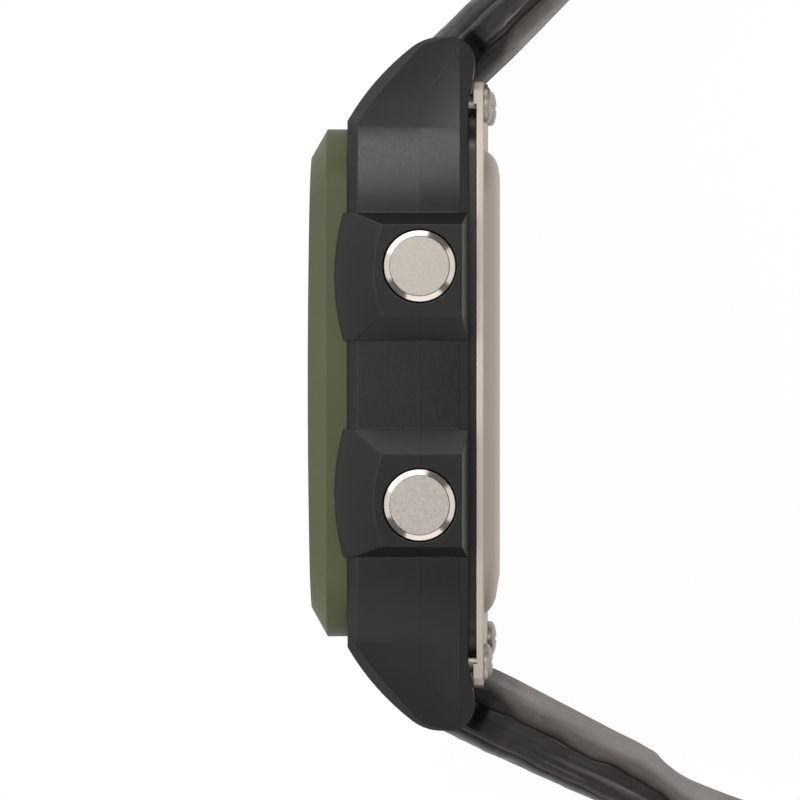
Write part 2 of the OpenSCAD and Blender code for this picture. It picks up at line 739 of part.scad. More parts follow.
module buzzer_spring() {
  floor_z = boss_floor_z + 0.15;
  color([0.8, 0.8, 0.78]) placed() at_buzzer_spring()
    translate([0, 0, floor_z]) coil(board_z - floor_z, coil_r, coil_wire, 7);
}

module case_gasket() {
  color([0.13, 0.13, 0.13]) placed() difference() {
    slab(round_box(gasket_in_x + gasket_w, gasket_in_y + gasket_w, 2.5), -rim_h, 0.11);
    slab(round_box(gasket_in_x, gasket_in_y, 1.65), -rim_h - 1, 1);
  }
}

// Outline of the case back: straight between the lugs, with an ear under each lug
function back_plan() =
  whole([
    [back_x, taper_y - 0.4],
    [back_x - 1, ear_y - 0.7],
    [back_x - 2, ear_y],
    [ear_in_x + 0.6, ear_y],
    [ear_in_x, ear_y - 0.6],
    [ear_in_x, mid_end_y + 0.4],
    [ear_in_x - 0.4, mid_end_y]
  ]);

module case_back() {
  lip_y = rim_y + 0.06;
  lip_top = -lug_drop * 0.66 - 0.05;
  color([0.62, 0.6, 0.58]) placed() difference() {
    union() {
      slab(back_plan(), -rim_h - back_t, -rim_h);
      intersection() {
        slab(back_plan(), -rim_h - back_t / 2, lip_top);
        for (end = [-1, 1]) translate([-case_x, end > 0 ? lip_y : -lip_y - 4, -3]) cube([2 * case_x, 4, 6]);
      }
      hull() for (step = [[0, 0], [0.35, 0.22], [0.65, 0.55], [0.87, 1], [1, 1.7]])
        let (z = -rim_h - back_t - step[0] * boss_h, in = step[1])
        slab(round_box(boss_x - in, boss_y - in, 3.5 - in * 0.6), z, z + eps);
    }
    slab(round_box(boss_x - 0.9, boss_y - 1, 2.6), boss_floor_z, 1);
    at_each_screw() translate([0, 0, -3]) cylinder(h = 4, r = screw_r + 0.15);
  }
}

module back_screws() {
  rise = 0.25;
  color([0.72, 0.7, 0.66]) placed() at_each_screw() translate([0, 0, -rim_h - back_t]) {
    translate([0, 0, -eps]) cylinder(h = rim_h + back_t + insert_l - 0.4, r = screw_r);
    difference() {
      mirror([0, 0, 1]) rotate_extrude()
        polygon(concat([[0, 0], [screw_head_r, 0], [screw_head_r, rise]],
          [for (i = [1:5]) let (a = 90 * i / 5)
            [screw_head_r * cos(a), rise + (screw_head_h - rise) * sin(a)]]));
      for (a = [0, 90]) rotate(a) translate([-0.75, -0.14, -screw_head_h - 1]) cube([1.5, 0.28, 1.35]);
    }
  }
}

module screw_inserts() {
  color([0.8, 0.66, 0.3]) placed() at_each_screw() difference() {
    cylinder(h = insert_l, r = insert_r);
    translate([0, 0, -1]) cylinder(h = insert_l + 2, r = screw_r + fit);
  }
}

module pusher_tubes() {
  color([0.8, 0.66, 0.3]) placed() at_each_pusher() difference() {
    translate([0, 0, cavity_x]) cylinder(h = tube_end_x - cavity_x, r = tube_out_r);
    translate([0, 0, cavity_x - 1]) cylinder(h = 6, r = tube_in_r);
  }
}

module pusher(side, end) {
  step = pusher_ring;
  pocket_r = tube_out_r + 0.4;
  color([0.74, 0.73, 0.71]) placed() at_pusher(side, end) rotate_extrude()
    polygon([
      [0, stem_end_x], [stem_r - 0.2, stem_end_x], [stem_r, stem_end_x + 0.2],
      [stem_r, cavity_x - clip_gap - clip_t - fit], [groove_r, cavity_x - clip_gap - clip_t - fit],
      [groove_r, cavity_x - clip_gap + fit], [stem_r, cavity_x - clip_gap + fit],
      [stem_r, seal_x - seal_w / 2 - fit], [groove_r, seal_x - seal_w / 2 - fit],
      [groove_r, seal_x + seal_w / 2 + fit], [stem_r, seal_x + seal_w / 2 + fit],
      [stem_r, cap_face_x - cap_t], [pocket_r, cap_face_x - cap_t], [pocket_r, cap_rim_x],
      [pusher_r, cap_rim_x], [pusher_r, cap_face_x - step * 0.7], [pusher_r - step, cap_face_x],
      [0, cap_face_x]
    ]);
}

module pusher_seal(side, end) {
  r0 = groove_r + fit;
  r1 = tube_in_r - fit;
  h = seal_w / 2;
  color([0.1, 0.1, 0.1]) placed() at_pusher(side, end) translate([0, 0, seal_x]) rotate_extrude()
    polygon([[r0, -h + 0.1], [r0 + 0.1, -h], [r1 - 0.1, -h], [r1, -h + 0.1],
      [r1, h - 0.1], [r1 - 0.1, h], [r0 + 0.1, h], [r0, h - 0.1]]);
}

// A retaining clip, open towards the rear of the case
module pusher_clip(side, end) {
  color([0.6, 0.6, 0.6]) placed() at_pusher(side, end)
    translate([0, 0, cavity_x - clip_gap - clip_t]) difference() {
      cylinder(h = clip_t, r = clip_r);
      translate([0, 0, -1]) cylinder(h = 3, r = groove_r + fit);
      translate([side > 0 ? 0 : -4, -0.45, -1]) cube([4, 0.9, 3]);
    }
}

module pusher_spring(side, end) {
  wire = 0.11;
  l = cap_face_x - cap_t - spring_seat_x;
  color([0.8, 0.8, 0.78]) placed() at_pusher(side, end) translate([0, 0, spring_seat_x])
    coil(l, tube_out_r + 0.2, wire, 4);
}

module spring_bar(end) {
  color([0.7, 0.7, 0.7]) placed() translate([0, end * bar_y, bar_z]) rotate([0, 90, 0]) difference() {
    cylinder(h = 2 * tube_half, r = bar_r, center = true);
    for (side = [-1, 1]) translate([0, 0, side * (tube_half - 2.5)])
      cylinder(h = 5.2, r = tip_r + 0.05, center = true);
  }
}

module bar_tip(end, side) {
  color([0.78, 0.78, 0.78]) placed() translate([0, end * bar_y, bar_z]) rotate([0, 90 * side, 0]) {
    translate([0, 0, tube_half - 3]) cylinder(h = lug_x + tip_reach - tube_half + 3, r = tip_r);
    translate([0, 0, flange_x]) cylinder(h = flange_t, r = bar_r - 0.1);
  }
}

// Length of an arm's curl
function curl_l(arm) = arm[2] * (arm[0] - arm[3]) * PI / 180;

// Angle of an arm from straight back, at distance s from its spring bar
function arm_angle(arm, s) =
  s <= arm[1] ? arm[0] : s >= arm[1] + curl_l(arm) ? arm[3] : arm[0] - (s - arm[1]) / arm[2] * 180 / PI;

// Middle line of an arm at distance s from its spring bar, as [outwards, back]
function arm_place(arm, s) =
  let (
    a = arm_angle(arm, s),
    before = min(s, arm[1]),
    after = max(0, s - arm[1] - curl_l(arm))
  )
  before * [sin(arm[0]), cos(arm[0])]
  + arm[2] * [cos(a) - cos(arm[0]), sin(arm[0]) - sin(a)]
  + after * [sin(arm[3]), cos(arm[3])];

// A point of the 12 o'clock strap: s along it, x across and n out of its upper side
function arm_point(arm, s, x, n) =
  let (p = arm_place(arm, s), a = arm_angle(arm, s))
  [x, bar_y + p[0] + n * cos(a), bar_z - p[1] + n * sin(a)];

// Stands on the middle line of an arm: y along the strap, z out of its upper side
module on_arm(arm, s) {
  p = arm_place(arm, s);
  translate([0, bar_y + p[0], bar_z - p[1]]) rotate([arm_angle(arm, s) - 90, 0, 0]) children();
}

function ramp(s, a, b) = min(1, max(0, (s - a) / (b - a)));
function soft_ramp(s, a, b) = (1 - cos(180 * ramp(s, a, b))) / 2;

// Half the padding's thickness and half the strap's width at s
function pad_at(s) = (pad_half - pad_thin * ramp(s, 3, 11)) * (1 - soft_ramp(s, pad_fade_start, pad_fade_end));
function half_width(s) = (strap_w + (strap_end_w - strap_w) * ramp(s, taper_start, taper_end)) / 2;

// Half the width of the 6 o'clock strap, whose tip is round
function tail_width(s) =
  let (over = s - strap_6_l + tail_r)
  over > 0 ? sqrt(max(0.8, tail_r * tail_r - over * over)) : half_width(s);

// Outer face of a skin at t across and s along, highest in the middle and eased at the edges
function dome(s, t, full) =
  let (e = min(edge_half, skin - 0.2), k = pow(abs(t), 3))
  e + (full - e) * sqrt(max(0, 1 - k * k));

// Inner face of a skin: over the padding in the middle, on the seam at the edges
function seam(s, t) = abs(t) > 0.9 ? 0 : pad_at(s) * sqrt(1 - t * t * 0.6);

// Solid between two faces: rows are [half width, [upper n for each place], [lower n for each place]]
module layer(arm, stations, across, widths, upper, lower) {
  m = len(across);
  ring = 2 * m;
  points = [for (i = [0:len(stations) - 1]) each concat(
      [for (j = [0:m - 1]) arm_point(arm, stations[i], across[j] * widths[i], upper[i][j])],
      [for (j = [m - 1:-1:0]) arm_point(arm, stations[i], across[j] * widths[i], lower[i][j])]
    )];
  last = (len(stations) - 1) * ring;
  skin_faces = [for (i = [0:len(stations) - 2], j = [0:ring - 1]) let (
      a = i * ring + j,
      b = i * ring + (j + 1) % ring
    ) each j < m ? [[a, b + ring, b], [a, a + ring, b + ring]] : [[a, a + ring, b], [a + ring, b + ring, b]]];
  caps = [for (j = [0:m - 2]) let (a = j, b = j + 1, c = ring - 2 - j, d = ring - 1 - j)
    each [[a, b, c], [a, c, d], [last + a, last + c, last + b], [last + a, last + d, last + c]]];
  polyhedron(points, concat(skin_faces, caps));
}

// Places along an arm: both ends, the ends of its curl, and about every 4 degrees between
function stations(arm, from, to, extra = []) =
  let (
    c0 = arm[1],
    c1 = arm[1] + curl_l(arm),
    n = ceil((arm[0] - arm[3]) / 4.2),
    bends = [for (i = [0:n]) c0 + (c1 - c0) * i / n],
    all = concat(extra, bends)
  )
  concat([from], sorted([for (s = all) if (s > from + 0.4 && s < to - 0.4) s]), [to]);

// A list in rising order, with near doubles left out
function sorted(list) =
  len(list) == 0 ? [] : let (
    low = min(list),
    rest = [for (v = list) if (v > low + 0.3) v]
  ) concat([low], sorted(rest));

// The end of a strap, folded round a bar at y = 0, from the fold back to y = reach
module strap_fold(half_w, half_t, reach, bore) {
  way = reach > 0 ? 1 : -1;
  outline = concat([[half_t, reach]], [for (p = arc([0, 0], half_t, 0, 180, 12)) [p[0], -way * p[1]]],
    [[-half_t, reach]]);
  face = [for (t = ACROSS) [t * half_w, dome(0, t, half_t)]];
  difference() {
    intersection() {
      rotate([0, -90, 0]) linear_extrude(2 * half_w + 1, center = true) polygon(outline);
      rotate([90, 0, 0]) linear_extrude(20, center = true) polygon(concat(face, flipped_y(face)));
    }
    rotate([0, 90, 0]) cylinder(h = 60, r = bore, center = true);
  }
}

// Places where a strap's form changes, then the same with those of one arm
fades = [3, 7, taper_start, pad_fade_start, pad_fade_start + 0.8, pad_fade_start + 2.1, pad_l, pad_fade_end,
  taper_end];
pad_end = pad_l;
s_12 = stations(arm_12, block_l - 0.8, strap_12_l - block_l + 0.8, fades);
s_12_in = stations(arm_12, block_l + 0.05, strap_12_l - block_l - 0.05, fades);
s_12_pad = stations(arm_12, block_l + 0.05, pad_end, fades);
tail_round = [for (a = [20, 40, 58, 72, 82]) strap_6_l - tail_r + tail_r * sin(a)];
fades_6 = concat(fades, [strap_6_l - tail_r], tail_round);
s_6 = stations(arm_6, block_l - 0.8, strap_6_l - 0.12, fades_6);
s_6_in = stations(arm_6, block_l + 0.05, strap_6_l - 0.12, fades_6);
s_6_pad = stations(arm_6, block_l + 0.05, pad_end, fades);

function across_12(s) = half_width(s) - 0.02;
function across_6(s) = tail_width(s) - 0.02;
function skin_out(s, t) = dome(s, t, skin + pad_at(s)) - eps;

module upper_skin(arm, at, widths) {
  layer(arm, at, ACROSS, widths, [for (s = at) [for (t = ACROSS) skin_out(s, t)]],
    [for (s = at) [for (t = ACROSS) seam(s, t)]]);
}

module padding(arm, at) {
  layer(arm, at, PAD_ACROSS, [for (s = at) half_width(s)],
    [for (s = at) [for (t = PAD_ACROSS) seam(s, t) - seat_gap]],
    [for (s = at) [for (t = PAD_ACROSS) -seam(s, t) + seat_gap]]);
}

module lining(arm, at, widths) {
  layer(arm, at, ACROSS, widths, [for (s = at) [for (t = ACROSS) -seam(s, t) - seat_gap]],
    [for (s = at) [for (t = ACROSS) -skin_out(s, t)]]);
}

module tongue_slot() {
  on_arm(arm_12, strap_12_l) translate([-tongue_half - 0.4, -2.6, -5]) cube([2 * tongue_half + 0.8, 10, 10]);
}

module strap_12_top() {
  color([0.11, 0.11, 0.11]) placed() difference() {
    union() {
      upper_skin(arm_12, s_12, [for (s = s_12) across_12(s)]);
      on_arm(arm_12, 0) strap_fold(strap_w / 2, strap_t / 2, block_l, bar_bore_r);
      on_arm(arm_12, strap_12_l) strap_fold(strap_end_w / 2, skin, -block_l, bar_r + fit);
    }
    tongue_slot();
  }
}

module strap_12_pad() {
  color([0.45, 0.43, 0.4]) placed() padding(arm_12, s_12_pad);
}

module strap_12_lining() {
  color([0.3, 0.28, 0.27]) placed() difference() {
    lining(arm_12, s_12_in, [for (s = s_12_in) across_12(s)]);
    tongue_slot();
  }
}

module strap_holes() {
  first = strap_6_l - 12 - (hole_count - 1) * hole_pitch;
  for (i = [0:hole_count - 1]) on_arm(arm_6, first + i * hole_pitch) cylinder(h = 8, r = hole_r, center = true);
}

module strap_6_top() {
  color([0.11, 0.11, 0.11]) placed() mirror([0, 1, 0]) difference() {
    union() {
      upper_skin(arm_6, s_6, [for (s = s_6) across_6(s)]);
      on_arm(arm_6, 0) strap_fold(strap_w / 2, strap_t / 2, block_l, bar_bore_r);
    }
    strap_holes();
  }
}

module strap_6_pad() {
  color([0.45, 0.43, 0.4]) placed() mirror([0, 1, 0]) padding(arm_6, s_6_pad);
}

module strap_6_lining() {
  color([0.3, 0.28, 0.27]) placed() mirror([0, 1, 0]) difference() {
    lining(arm_6, s_6_in, [for (s = s_6_in) across_6(s)]);
    strap_holes();
  }
}

// A closed leather loop around the flat strap, with room for the strap's tip over it
module keeper(s, under) {
  low = -skin - under;
  high = skin + keeper_head;
  mid = (low + high) / 2;
  half = (high - low) / 2;
  color([0.12, 0.12, 0.12]) placed() on_arm(arm_12, s) translate([0, 0, mid]) rotate([90, 0, 0])
    linear_extrude(keeper_w, center = true) difference() {
      polygon(round_box(keeper_in_x + keeper_t, half + keeper_t, 1.5));
      polygon(round_box(keeper_in_x, half, 0.6));
    }
}

module fixed_keeper() {
  keeper(fixed_keeper_s, 0.05);
}

module sliding_keeper() {
  keeper(sliding_keeper_s, 0.15);
}

module buckle_bar() {
  color([0.7, 0.7, 0.7]) placed() on_arm(arm_12, strap_12_l) rotate([0, 90, 0])
    cylinder(h = 2 * buckle_bar_end, r = bar_r, center = true);
}

module buckle_frame() {
  heel = bar_r + 1.1;
  length = heel + buckle_l + buckle_metal;
  mid = length / 2 - heel;
  color([0.72, 0.72, 0.71]) placed() on_arm(arm_12, strap_12_l) difference() {
    translate([0, 0, -buckle_t / 2]) linear_extrude(buckle_t) difference() {
      translate([0, mid]) polygon(round_box(buckle_out_x, length / 2, 1.8));
      translate([0, mid - buckle_metal]) polygon(round_box(buckle_in_x, length / 2, 1.2));
      translate([-buckle_in_x, -heel - 1]) square([2 * buckle_in_x, heel + 1]);
    }
    rotate([0, 90, 0]) cylinder(h = 2 * buckle_bar_end + 0.3, r = bar_r + 0.05, center = true);
  }
}

module buckle_tongue() {
  tip_s = buckle_l + buckle_metal - 0.1;
  rise = 0.85;
  rest_n = buckle_t / 2 + tongue_r + 0.05;
  slope = atan2(rest_n - rise, buckle_l);
  color([0.72, 0.72, 0.71]) placed() on_arm(arm_12, strap_12_l) difference() {
    union() {
      rotate([0, 90, 0]) cylinder(h = 2 * tongue_half, r = bar_r + 0.75, center = true);
      translate([0, 0, rise]) rotate([slope - 90, 0, 0]) {
        cylinder(h = tip_s, r = tongue_r);
        translate([0, 0, tip_s]) sphere(r = tongue_r);
      }
    }
    rotate([0, 90, 0]) cylinder(h = 10, r = bar_r + 0.05, center = true);
  }
}

case_body();
bezel();
crystal();
crystal_gasket();
dial_mask();
lcd_panel();
lcd_digits();
light_guide();
module_frame();
contact_strips();
circuit_board();
main_chip();
quartz_can();
battery_tray();
battery();
battery_clip();
button_contacts();
buzzer_disc();
buzzer_spring();
case_gasket();
case_back();
back_screws();
screw_inserts();
pusher_tubes();
pusher(1, 1);  // pusher_2
pusher(1, -1);  // pusher_4
pusher(-1, -1);  // pusher_8
pusher(-1, 1);  // pusher_10
pusher_seal(1, 1);  // pusher_seal_2
pusher_seal(1, -1);  // pusher_seal_4
pusher_seal(-1, -1);  // pusher_seal_8
pusher_seal(-1, 1);  // pusher_seal_10
pusher_clip(1, 1);  // pusher_clip_2
pusher_clip(1, -1);  // pusher_clip_4
pusher_clip(-1, -1);  // pusher_clip_8
pusher_clip(-1, 1);  // pusher_clip_10
pusher_spring(1, 1);  // pusher_spring_2
pusher_spring(1, -1);  // pusher_spring_4
pusher_spring(-1, -1);  // pusher_spring_8
pusher_spring(-1, 1);  // pusher_spring_10
spring_bar(1);  // spring_bar_12
spring_bar(-1);  // spring_bar_6
bar_tip(1, 1);  // bar_12_tip_right
bar_tip(1, -1);  // bar_12_tip_left
bar_tip(-1, 1);  // bar_6_tip_right
bar_tip(-1, -1);  // bar_6_tip_left
strap_12_top();
strap_12_pad();
strap_12_lining();
fixed_keeper();
sliding_keeper();
buckle_bar();
buckle_frame();
buckle_tongue();
strap_6_top();
strap_6_pad();
strap_6_lining();
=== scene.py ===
# Digital wristwatch with a padded leather strap, lying on its side
import json
import math

import bmesh
import bpy
from mathutils import Matrix, Vector, noise


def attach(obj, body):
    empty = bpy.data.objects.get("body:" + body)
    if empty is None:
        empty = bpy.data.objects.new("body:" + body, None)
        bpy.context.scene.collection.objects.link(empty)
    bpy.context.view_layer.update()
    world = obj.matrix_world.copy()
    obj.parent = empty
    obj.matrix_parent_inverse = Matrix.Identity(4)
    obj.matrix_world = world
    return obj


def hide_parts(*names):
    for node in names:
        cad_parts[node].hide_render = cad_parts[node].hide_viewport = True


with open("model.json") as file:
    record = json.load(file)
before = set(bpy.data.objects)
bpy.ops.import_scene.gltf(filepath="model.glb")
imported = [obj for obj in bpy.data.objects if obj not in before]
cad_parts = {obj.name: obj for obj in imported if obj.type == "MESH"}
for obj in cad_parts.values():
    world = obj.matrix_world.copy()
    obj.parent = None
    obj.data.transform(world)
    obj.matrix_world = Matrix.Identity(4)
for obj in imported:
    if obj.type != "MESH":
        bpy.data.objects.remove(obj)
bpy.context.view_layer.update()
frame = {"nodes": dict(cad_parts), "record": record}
nodes = frame["nodes"]
scene = bpy.context.scene
milli = 0.001  # metres in a millimetre


def newMaterial(name):
    mat = bpy.data.materials.new(name)
    mat.use_nodes = True
    tree = mat.node_tree
    tree.nodes.clear()
    out = tree.nodes.new("ShaderNodeOutputMaterial")
    shader = tree.nodes.new("ShaderNodeBsdfPrincipled")
    tree.links.new(shader.outputs[0], out.inputs[0])
    return mat, tree, shader


def addNode(tree, kind, **values):
    node = tree.nodes.new("ShaderNode" + kind)
    for key, value in values.items():
        if key in node.inputs:
            node.inputs[key].default_value = value
        else:
            setattr(node, key, value)
    return node


def newGroup(name, inputs, outputs):
    # a shader group with named sockets: floats, colours or vectors
    group = bpy.data.node_groups.new(name, "ShaderNodeTree")
    kinds = {"f": "NodeSocketFloat", "c": "NodeSocketColor", "v": "NodeSocketVector"}
    for label, kind, value in inputs:
        socket = group.interface.new_socket(name=label, in_out="INPUT", socket_type=kinds[kind])
        if value is not None:
            socket.default_value = value
    for label, kind in outputs:
        group.interface.new_socket(name=label, in_out="OUTPUT", socket_type=kinds[kind])
    return group, group.nodes.new("NodeGroupInput"), group.nodes.new("NodeGroupOutput")


def useGroup(tree, group, **values):
    node = tree.nodes.new("ShaderNodeGroup")
    node.node_tree = group
    for key, value in values.items():
        node.inputs[key].default_value = value
    return node


def mathNode(tree, operation, a, b=None, c=None, clamp=False):
    node = tree.nodes.new("ShaderNodeMath")
    node.operation = operation
    node.use_clamp = clamp
    for socket, value in zip(node.inputs, (a, b, c)):
        if value is None:
            continue
        if isinstance(value, (int, float)):
            socket.default_value = value
        else:
            tree.links.new(value, socket)
    return node.outputs[0]


def ramp(tree, value, low, high, toLow=0.0, toHigh=1.0):
    node = tree.nodes.new("ShaderNodeMapRange")
    node.interpolation_type = "SMOOTHSTEP"
    tree.links.new(value, node.inputs["Value"])
    for key, number in (("From Min", low), ("From Max", high), ("To Min", toLow), ("To Max", toHigh)):
        node.inputs[key].default_value = number
    return node.outputs["Result"]


def mixColour(tree, factor, a, b):
    node = tree.nodes.new("ShaderNodeMix")
    node.data_type = "RGBA"
    for socket, value in ((node.inputs[0], factor), (node.inputs[6], a), (node.inputs[7], b)):
        if isinstance(value, (int, float, tuple)):
            socket.default_value = value
        else:
            tree.links.new(value, socket)
    return node.outputs[2]


def makeGrain():
    # fine moulded or sprayed grain: a height and a mask of faint stains, by size in 1/m
    group, gin, gout = newGroup("Grain", [("Scale", "f", 3000.0), ("Stain scale", "f", 120.0)],
                                [("Height", "f"), ("Stains", "f")])
    coords = addNode(group, "TexCoord")
    fine = addNode(group, "TexNoise", Detail=3.0, Roughness=0.6)
    wide = addNode(group, "TexNoise", Detail=4.0, Roughness=0.55)
    for tex, label in ((fine, "Scale"), (wide, "Stain scale")):
        group.links.new(coords.outputs["Object"], tex.inputs["Vector"])
        group.links.new(gin.outputs[label], tex.inputs["Scale"])
    group.links.new(fine.outputs["Fac"], gout.inputs["Height"])
    group.links.new(ramp(group, wide.outputs["Fac"], 0.35, 0.7), gout.inputs["Stains"])
    return group


def makeBrush():
    # brush marks: the lower the stretch along an axis, the longer they run that way
    group, gin, gout = newGroup("Brush marks", [("Stretch", "v", (40.0, 4000.0, 4000.0))],
                                [("Height", "f"), ("Streaks", "f")])
    coords = addNode(group, "TexCoord")
    stretch = addNode(group, "VectorMath", operation="MULTIPLY")
    group.links.new(coords.outputs["Object"], stretch.inputs[0])
    group.links.new(gin.outputs["Stretch"], stretch.inputs[1])
    marks = addNode(group, "TexNoise", Scale=1.0, Detail=4.0, Roughness=0.65)
    group.links.new(stretch.outputs[0], marks.inputs["Vector"])
    group.links.new(marks.outputs["Fac"], gout.inputs["Height"])
    group.links.new(ramp(group, marks.outputs["Fac"], 0.3, 0.7), gout.inputs["Streaks"])
    return group


def makeHide():
    # leather: pores, and fine creases where a noise crosses its middle
    group, gin, gout = newGroup("Hide", [("Pore scale", "f", 1700.0), ("Crease scale", "f", 260.0)],
                                [("Height", "f"), ("Wear", "f")])
    coords = addNode(group, "TexCoord")
    pores = addNode(group, "TexVoronoi", feature="SMOOTH_F1")
    group.links.new(coords.outputs["Object"], pores.inputs["Vector"])
    group.links.new(gin.outputs["Pore scale"], pores.inputs["Scale"])
    creases = addNode(group, "TexNoise", Detail=5.0, Roughness=0.6, Distortion=0.8)
    group.links.new(coords.outputs["Object"], creases.inputs["Vector"])
    group.links.new(gin.outputs["Crease scale"], creases.inputs["Scale"])
    cut = mathNode(group, "ABSOLUTE", mathNode(group, "SUBTRACT", creases.outputs["Fac"], 0.5))
    height = mathNode(group, "ADD", mathNode(group, "MULTIPLY", pores.outputs["Distance"], 0.5),
                      ramp(group, cut, 0.0, 0.06, 0.0, 0.3))
    group.links.new(height, gout.inputs["Height"])
    group.links.new(ramp(group, creases.outputs["Fac"], 0.45, 0.75), gout.inputs["Wear"])
    return group


def makeSoftEdge():
    # a rounded normal along crisp edges, and a mask of those edges
    group, gin, gout = newGroup("Soft edge", [("Radius", "f", 0.00012)], [("Normal", "v"), ("Edge", "f")])
    flat, turned = 0.975, 0.88  # cosine between the rounded and the plain normal
    rounded = addNode(group, "Bevel", samples=6)
    group.links.new(gin.outputs["Radius"], rounded.inputs["Radius"])
    plain = addNode(group, "NewGeometry")
    dot = addNode(group, "VectorMath", operation="DOT_PRODUCT")
    group.links.new(rounded.outputs[0], dot.inputs[0])
    group.links.new(plain.outputs["Normal"], dot.inputs[1])
    group.links.new(rounded.outputs[0], gout.inputs["Normal"])
    group.links.new(ramp(group, dot.outputs["Value"], flat, turned), gout.inputs["Edge"])
    return group


def rowPlace(group):
    # a place on the watch, split into the row's X, Y and Z
    coords = addNode(group, "TexCoord")
    parts = addNode(group, "SeparateXYZ")
    group.links.new(coords.outputs["Object"], parts.inputs[0])
    return parts.outputs


sideMarks = {
    "ridgeX": -0.00504,  # ridge of the case's sides, in row metres: the pushers' axes cross it
    "pusherY": 0.00787,  # the same axes, either side of the middle
}


def makeTurnedFace():
    # the pusher's polished ring and the fine line inside it, by distance from the pusher's axis
    inputs = [("Disc radius", "f", 0.00197), ("Line width", "f", 0.00004)]
    group, gin, gout = newGroup("Turned face", inputs, [("Ring", "f"), ("Line", "f")])
    place = rowPlace(group)
    across = mathNode(group, "SUBTRACT", place["X"], sideMarks["ridgeX"])
    along = mathNode(group, "SUBTRACT", mathNode(group, "ABSOLUTE", place["Y"]), sideMarks["pusherY"])
    squares = [mathNode(group, "POWER", mathNode(group, "ABSOLUTE", way), 2.0) for way in (across, along)]
    distance = mathNode(group, "SQRT", mathNode(group, "ADD", *squares))
    past = mathNode(group, "SUBTRACT", distance, gin.outputs["Disc radius"])
    inner, outer = -0.00001, 0.00002  # metres over which the ring begins
    group.links.new(ramp(group, past, inner, outer), gout.inputs["Ring"])
    near = mathNode(group, "DIVIDE", mathNode(group, "ABSOLUTE", past), gin.outputs["Line width"])
    group.links.new(ramp(group, near, 1.0, 0.3), gout.inputs["Line"])
    return group


def makeMouldLine():
    # the fine line where the halves of the case mould met
    # it is straight along the side, then runs off to the lug tips
    inputs = [("Place", "f", sideMarks["ridgeX"]), ("Turn", "f", 0.0188), ("Tip", "f", 0.023),
              ("Run", "f", 0.003), ("Width", "f", 0.00005)]
    group, gin, gout = newGroup("Mould line", inputs, [("Line", "f")])
    place = rowPlace(group)
    bend = addNode(group, "MapRange")
    group.links.new(mathNode(group, "ABSOLUTE", place["Y"]), bend.inputs["Value"])
    for label, socket in (("Turn", "From Min"), ("Tip", "From Max"), ("Run", "To Max")):
        group.links.new(gin.outputs[label], bend.inputs[socket])
    path = mathNode(group, "ADD", gin.outputs["Place"], bend.outputs["Result"])
    gap = mathNode(group, "ABSOLUTE", mathNode(group, "SUBTRACT", place["X"], path))
    near = mathNode(group, "DIVIDE", gap, gin.outputs["Width"])
    group.links.new(ramp(group, near, 1.0, 0.2), gout.inputs["Line"])
    return group


def makeEarTipShade():
    # painted shade on the ends of the case back's ears, by their distance along the watch
    inputs = [("Start", "f", 0.01995), ("Fade", "f", 0.00012)]
    group, gin, gout = newGroup("Ear tips", inputs, [("Tips", "f")])
    along = mathNode(group, "ABSOLUTE", rowPlace(group)["Y"])
    past = mathNode(group, "SUBTRACT", along, gin.outputs["Start"])
    tips = mathNode(group, "DIVIDE", past, gin.outputs["Fade"], clamp=True)
    group.links.new(tips, gout.inputs["Tips"])
    return group


grain, brush, hide, softEdge = makeGrain(), makeBrush(), makeHide(), makeSoftEdge()
turnedFace, mouldLine, earTips = makeTurnedFace(), makeMouldLine(), makeEarTipShade()

finishSetup = {
    "span": (0.3, 0.7),  # noise between which a finish goes from its smoothest to its roughest
    "mouldedSpread": (-0.03, 0.04), "metalSpread": (-0.06, 0.08),  # roughness at those two
    "mouldedBump": 0.5, "metalBump": 0.4, "leatherBump": 0.6,  # strengths
    "worn": (1.6, 0.02, 0.9),  # colour of worn edges and of their painted highlight: factor, rise and limit
    "mouldLine": {"blend": 0.6, "shade": 0.3, "rise": 4.0},
    "streak": 0.88,  # how dark brush marks are
    "polish": -0.35,  # what an edge's polish takes off the roughness
    "turned": {"ring": 1.75, "line": 0.35, "matte": 0.6},
    "earTips": {"blend": 0.9, "shade": 0.12},
}


def opaque(colour, factor=1.0):
    return tuple(c * factor for c in colour[:3]) + (1.0,)


def wearAndSheenColour(colour):
    factor, rise, limit = finishSetup["worn"]
    return opaque([min(limit, c * factor + rise) for c in colour])


def roughBy(tree, height, rough, spread):
    # roughness that follows the grain or the brush marks
    low, high = finishSetup[spread]
    return ramp(tree, height, *finishSetup["span"], rough + low, rough + high)


def bumpFrom(tree, height, shader, strength, distance, normal=None):
    bump = addNode(tree, "Bump", Strength=strength, Distance=distance)
    tree.links.new(height, bump.inputs["Height"])
    if normal is not None:
        tree.links.new(normal, bump.inputs["Normal"])
    tree.links.new(bump.outputs[0], shader.inputs["Normal"])


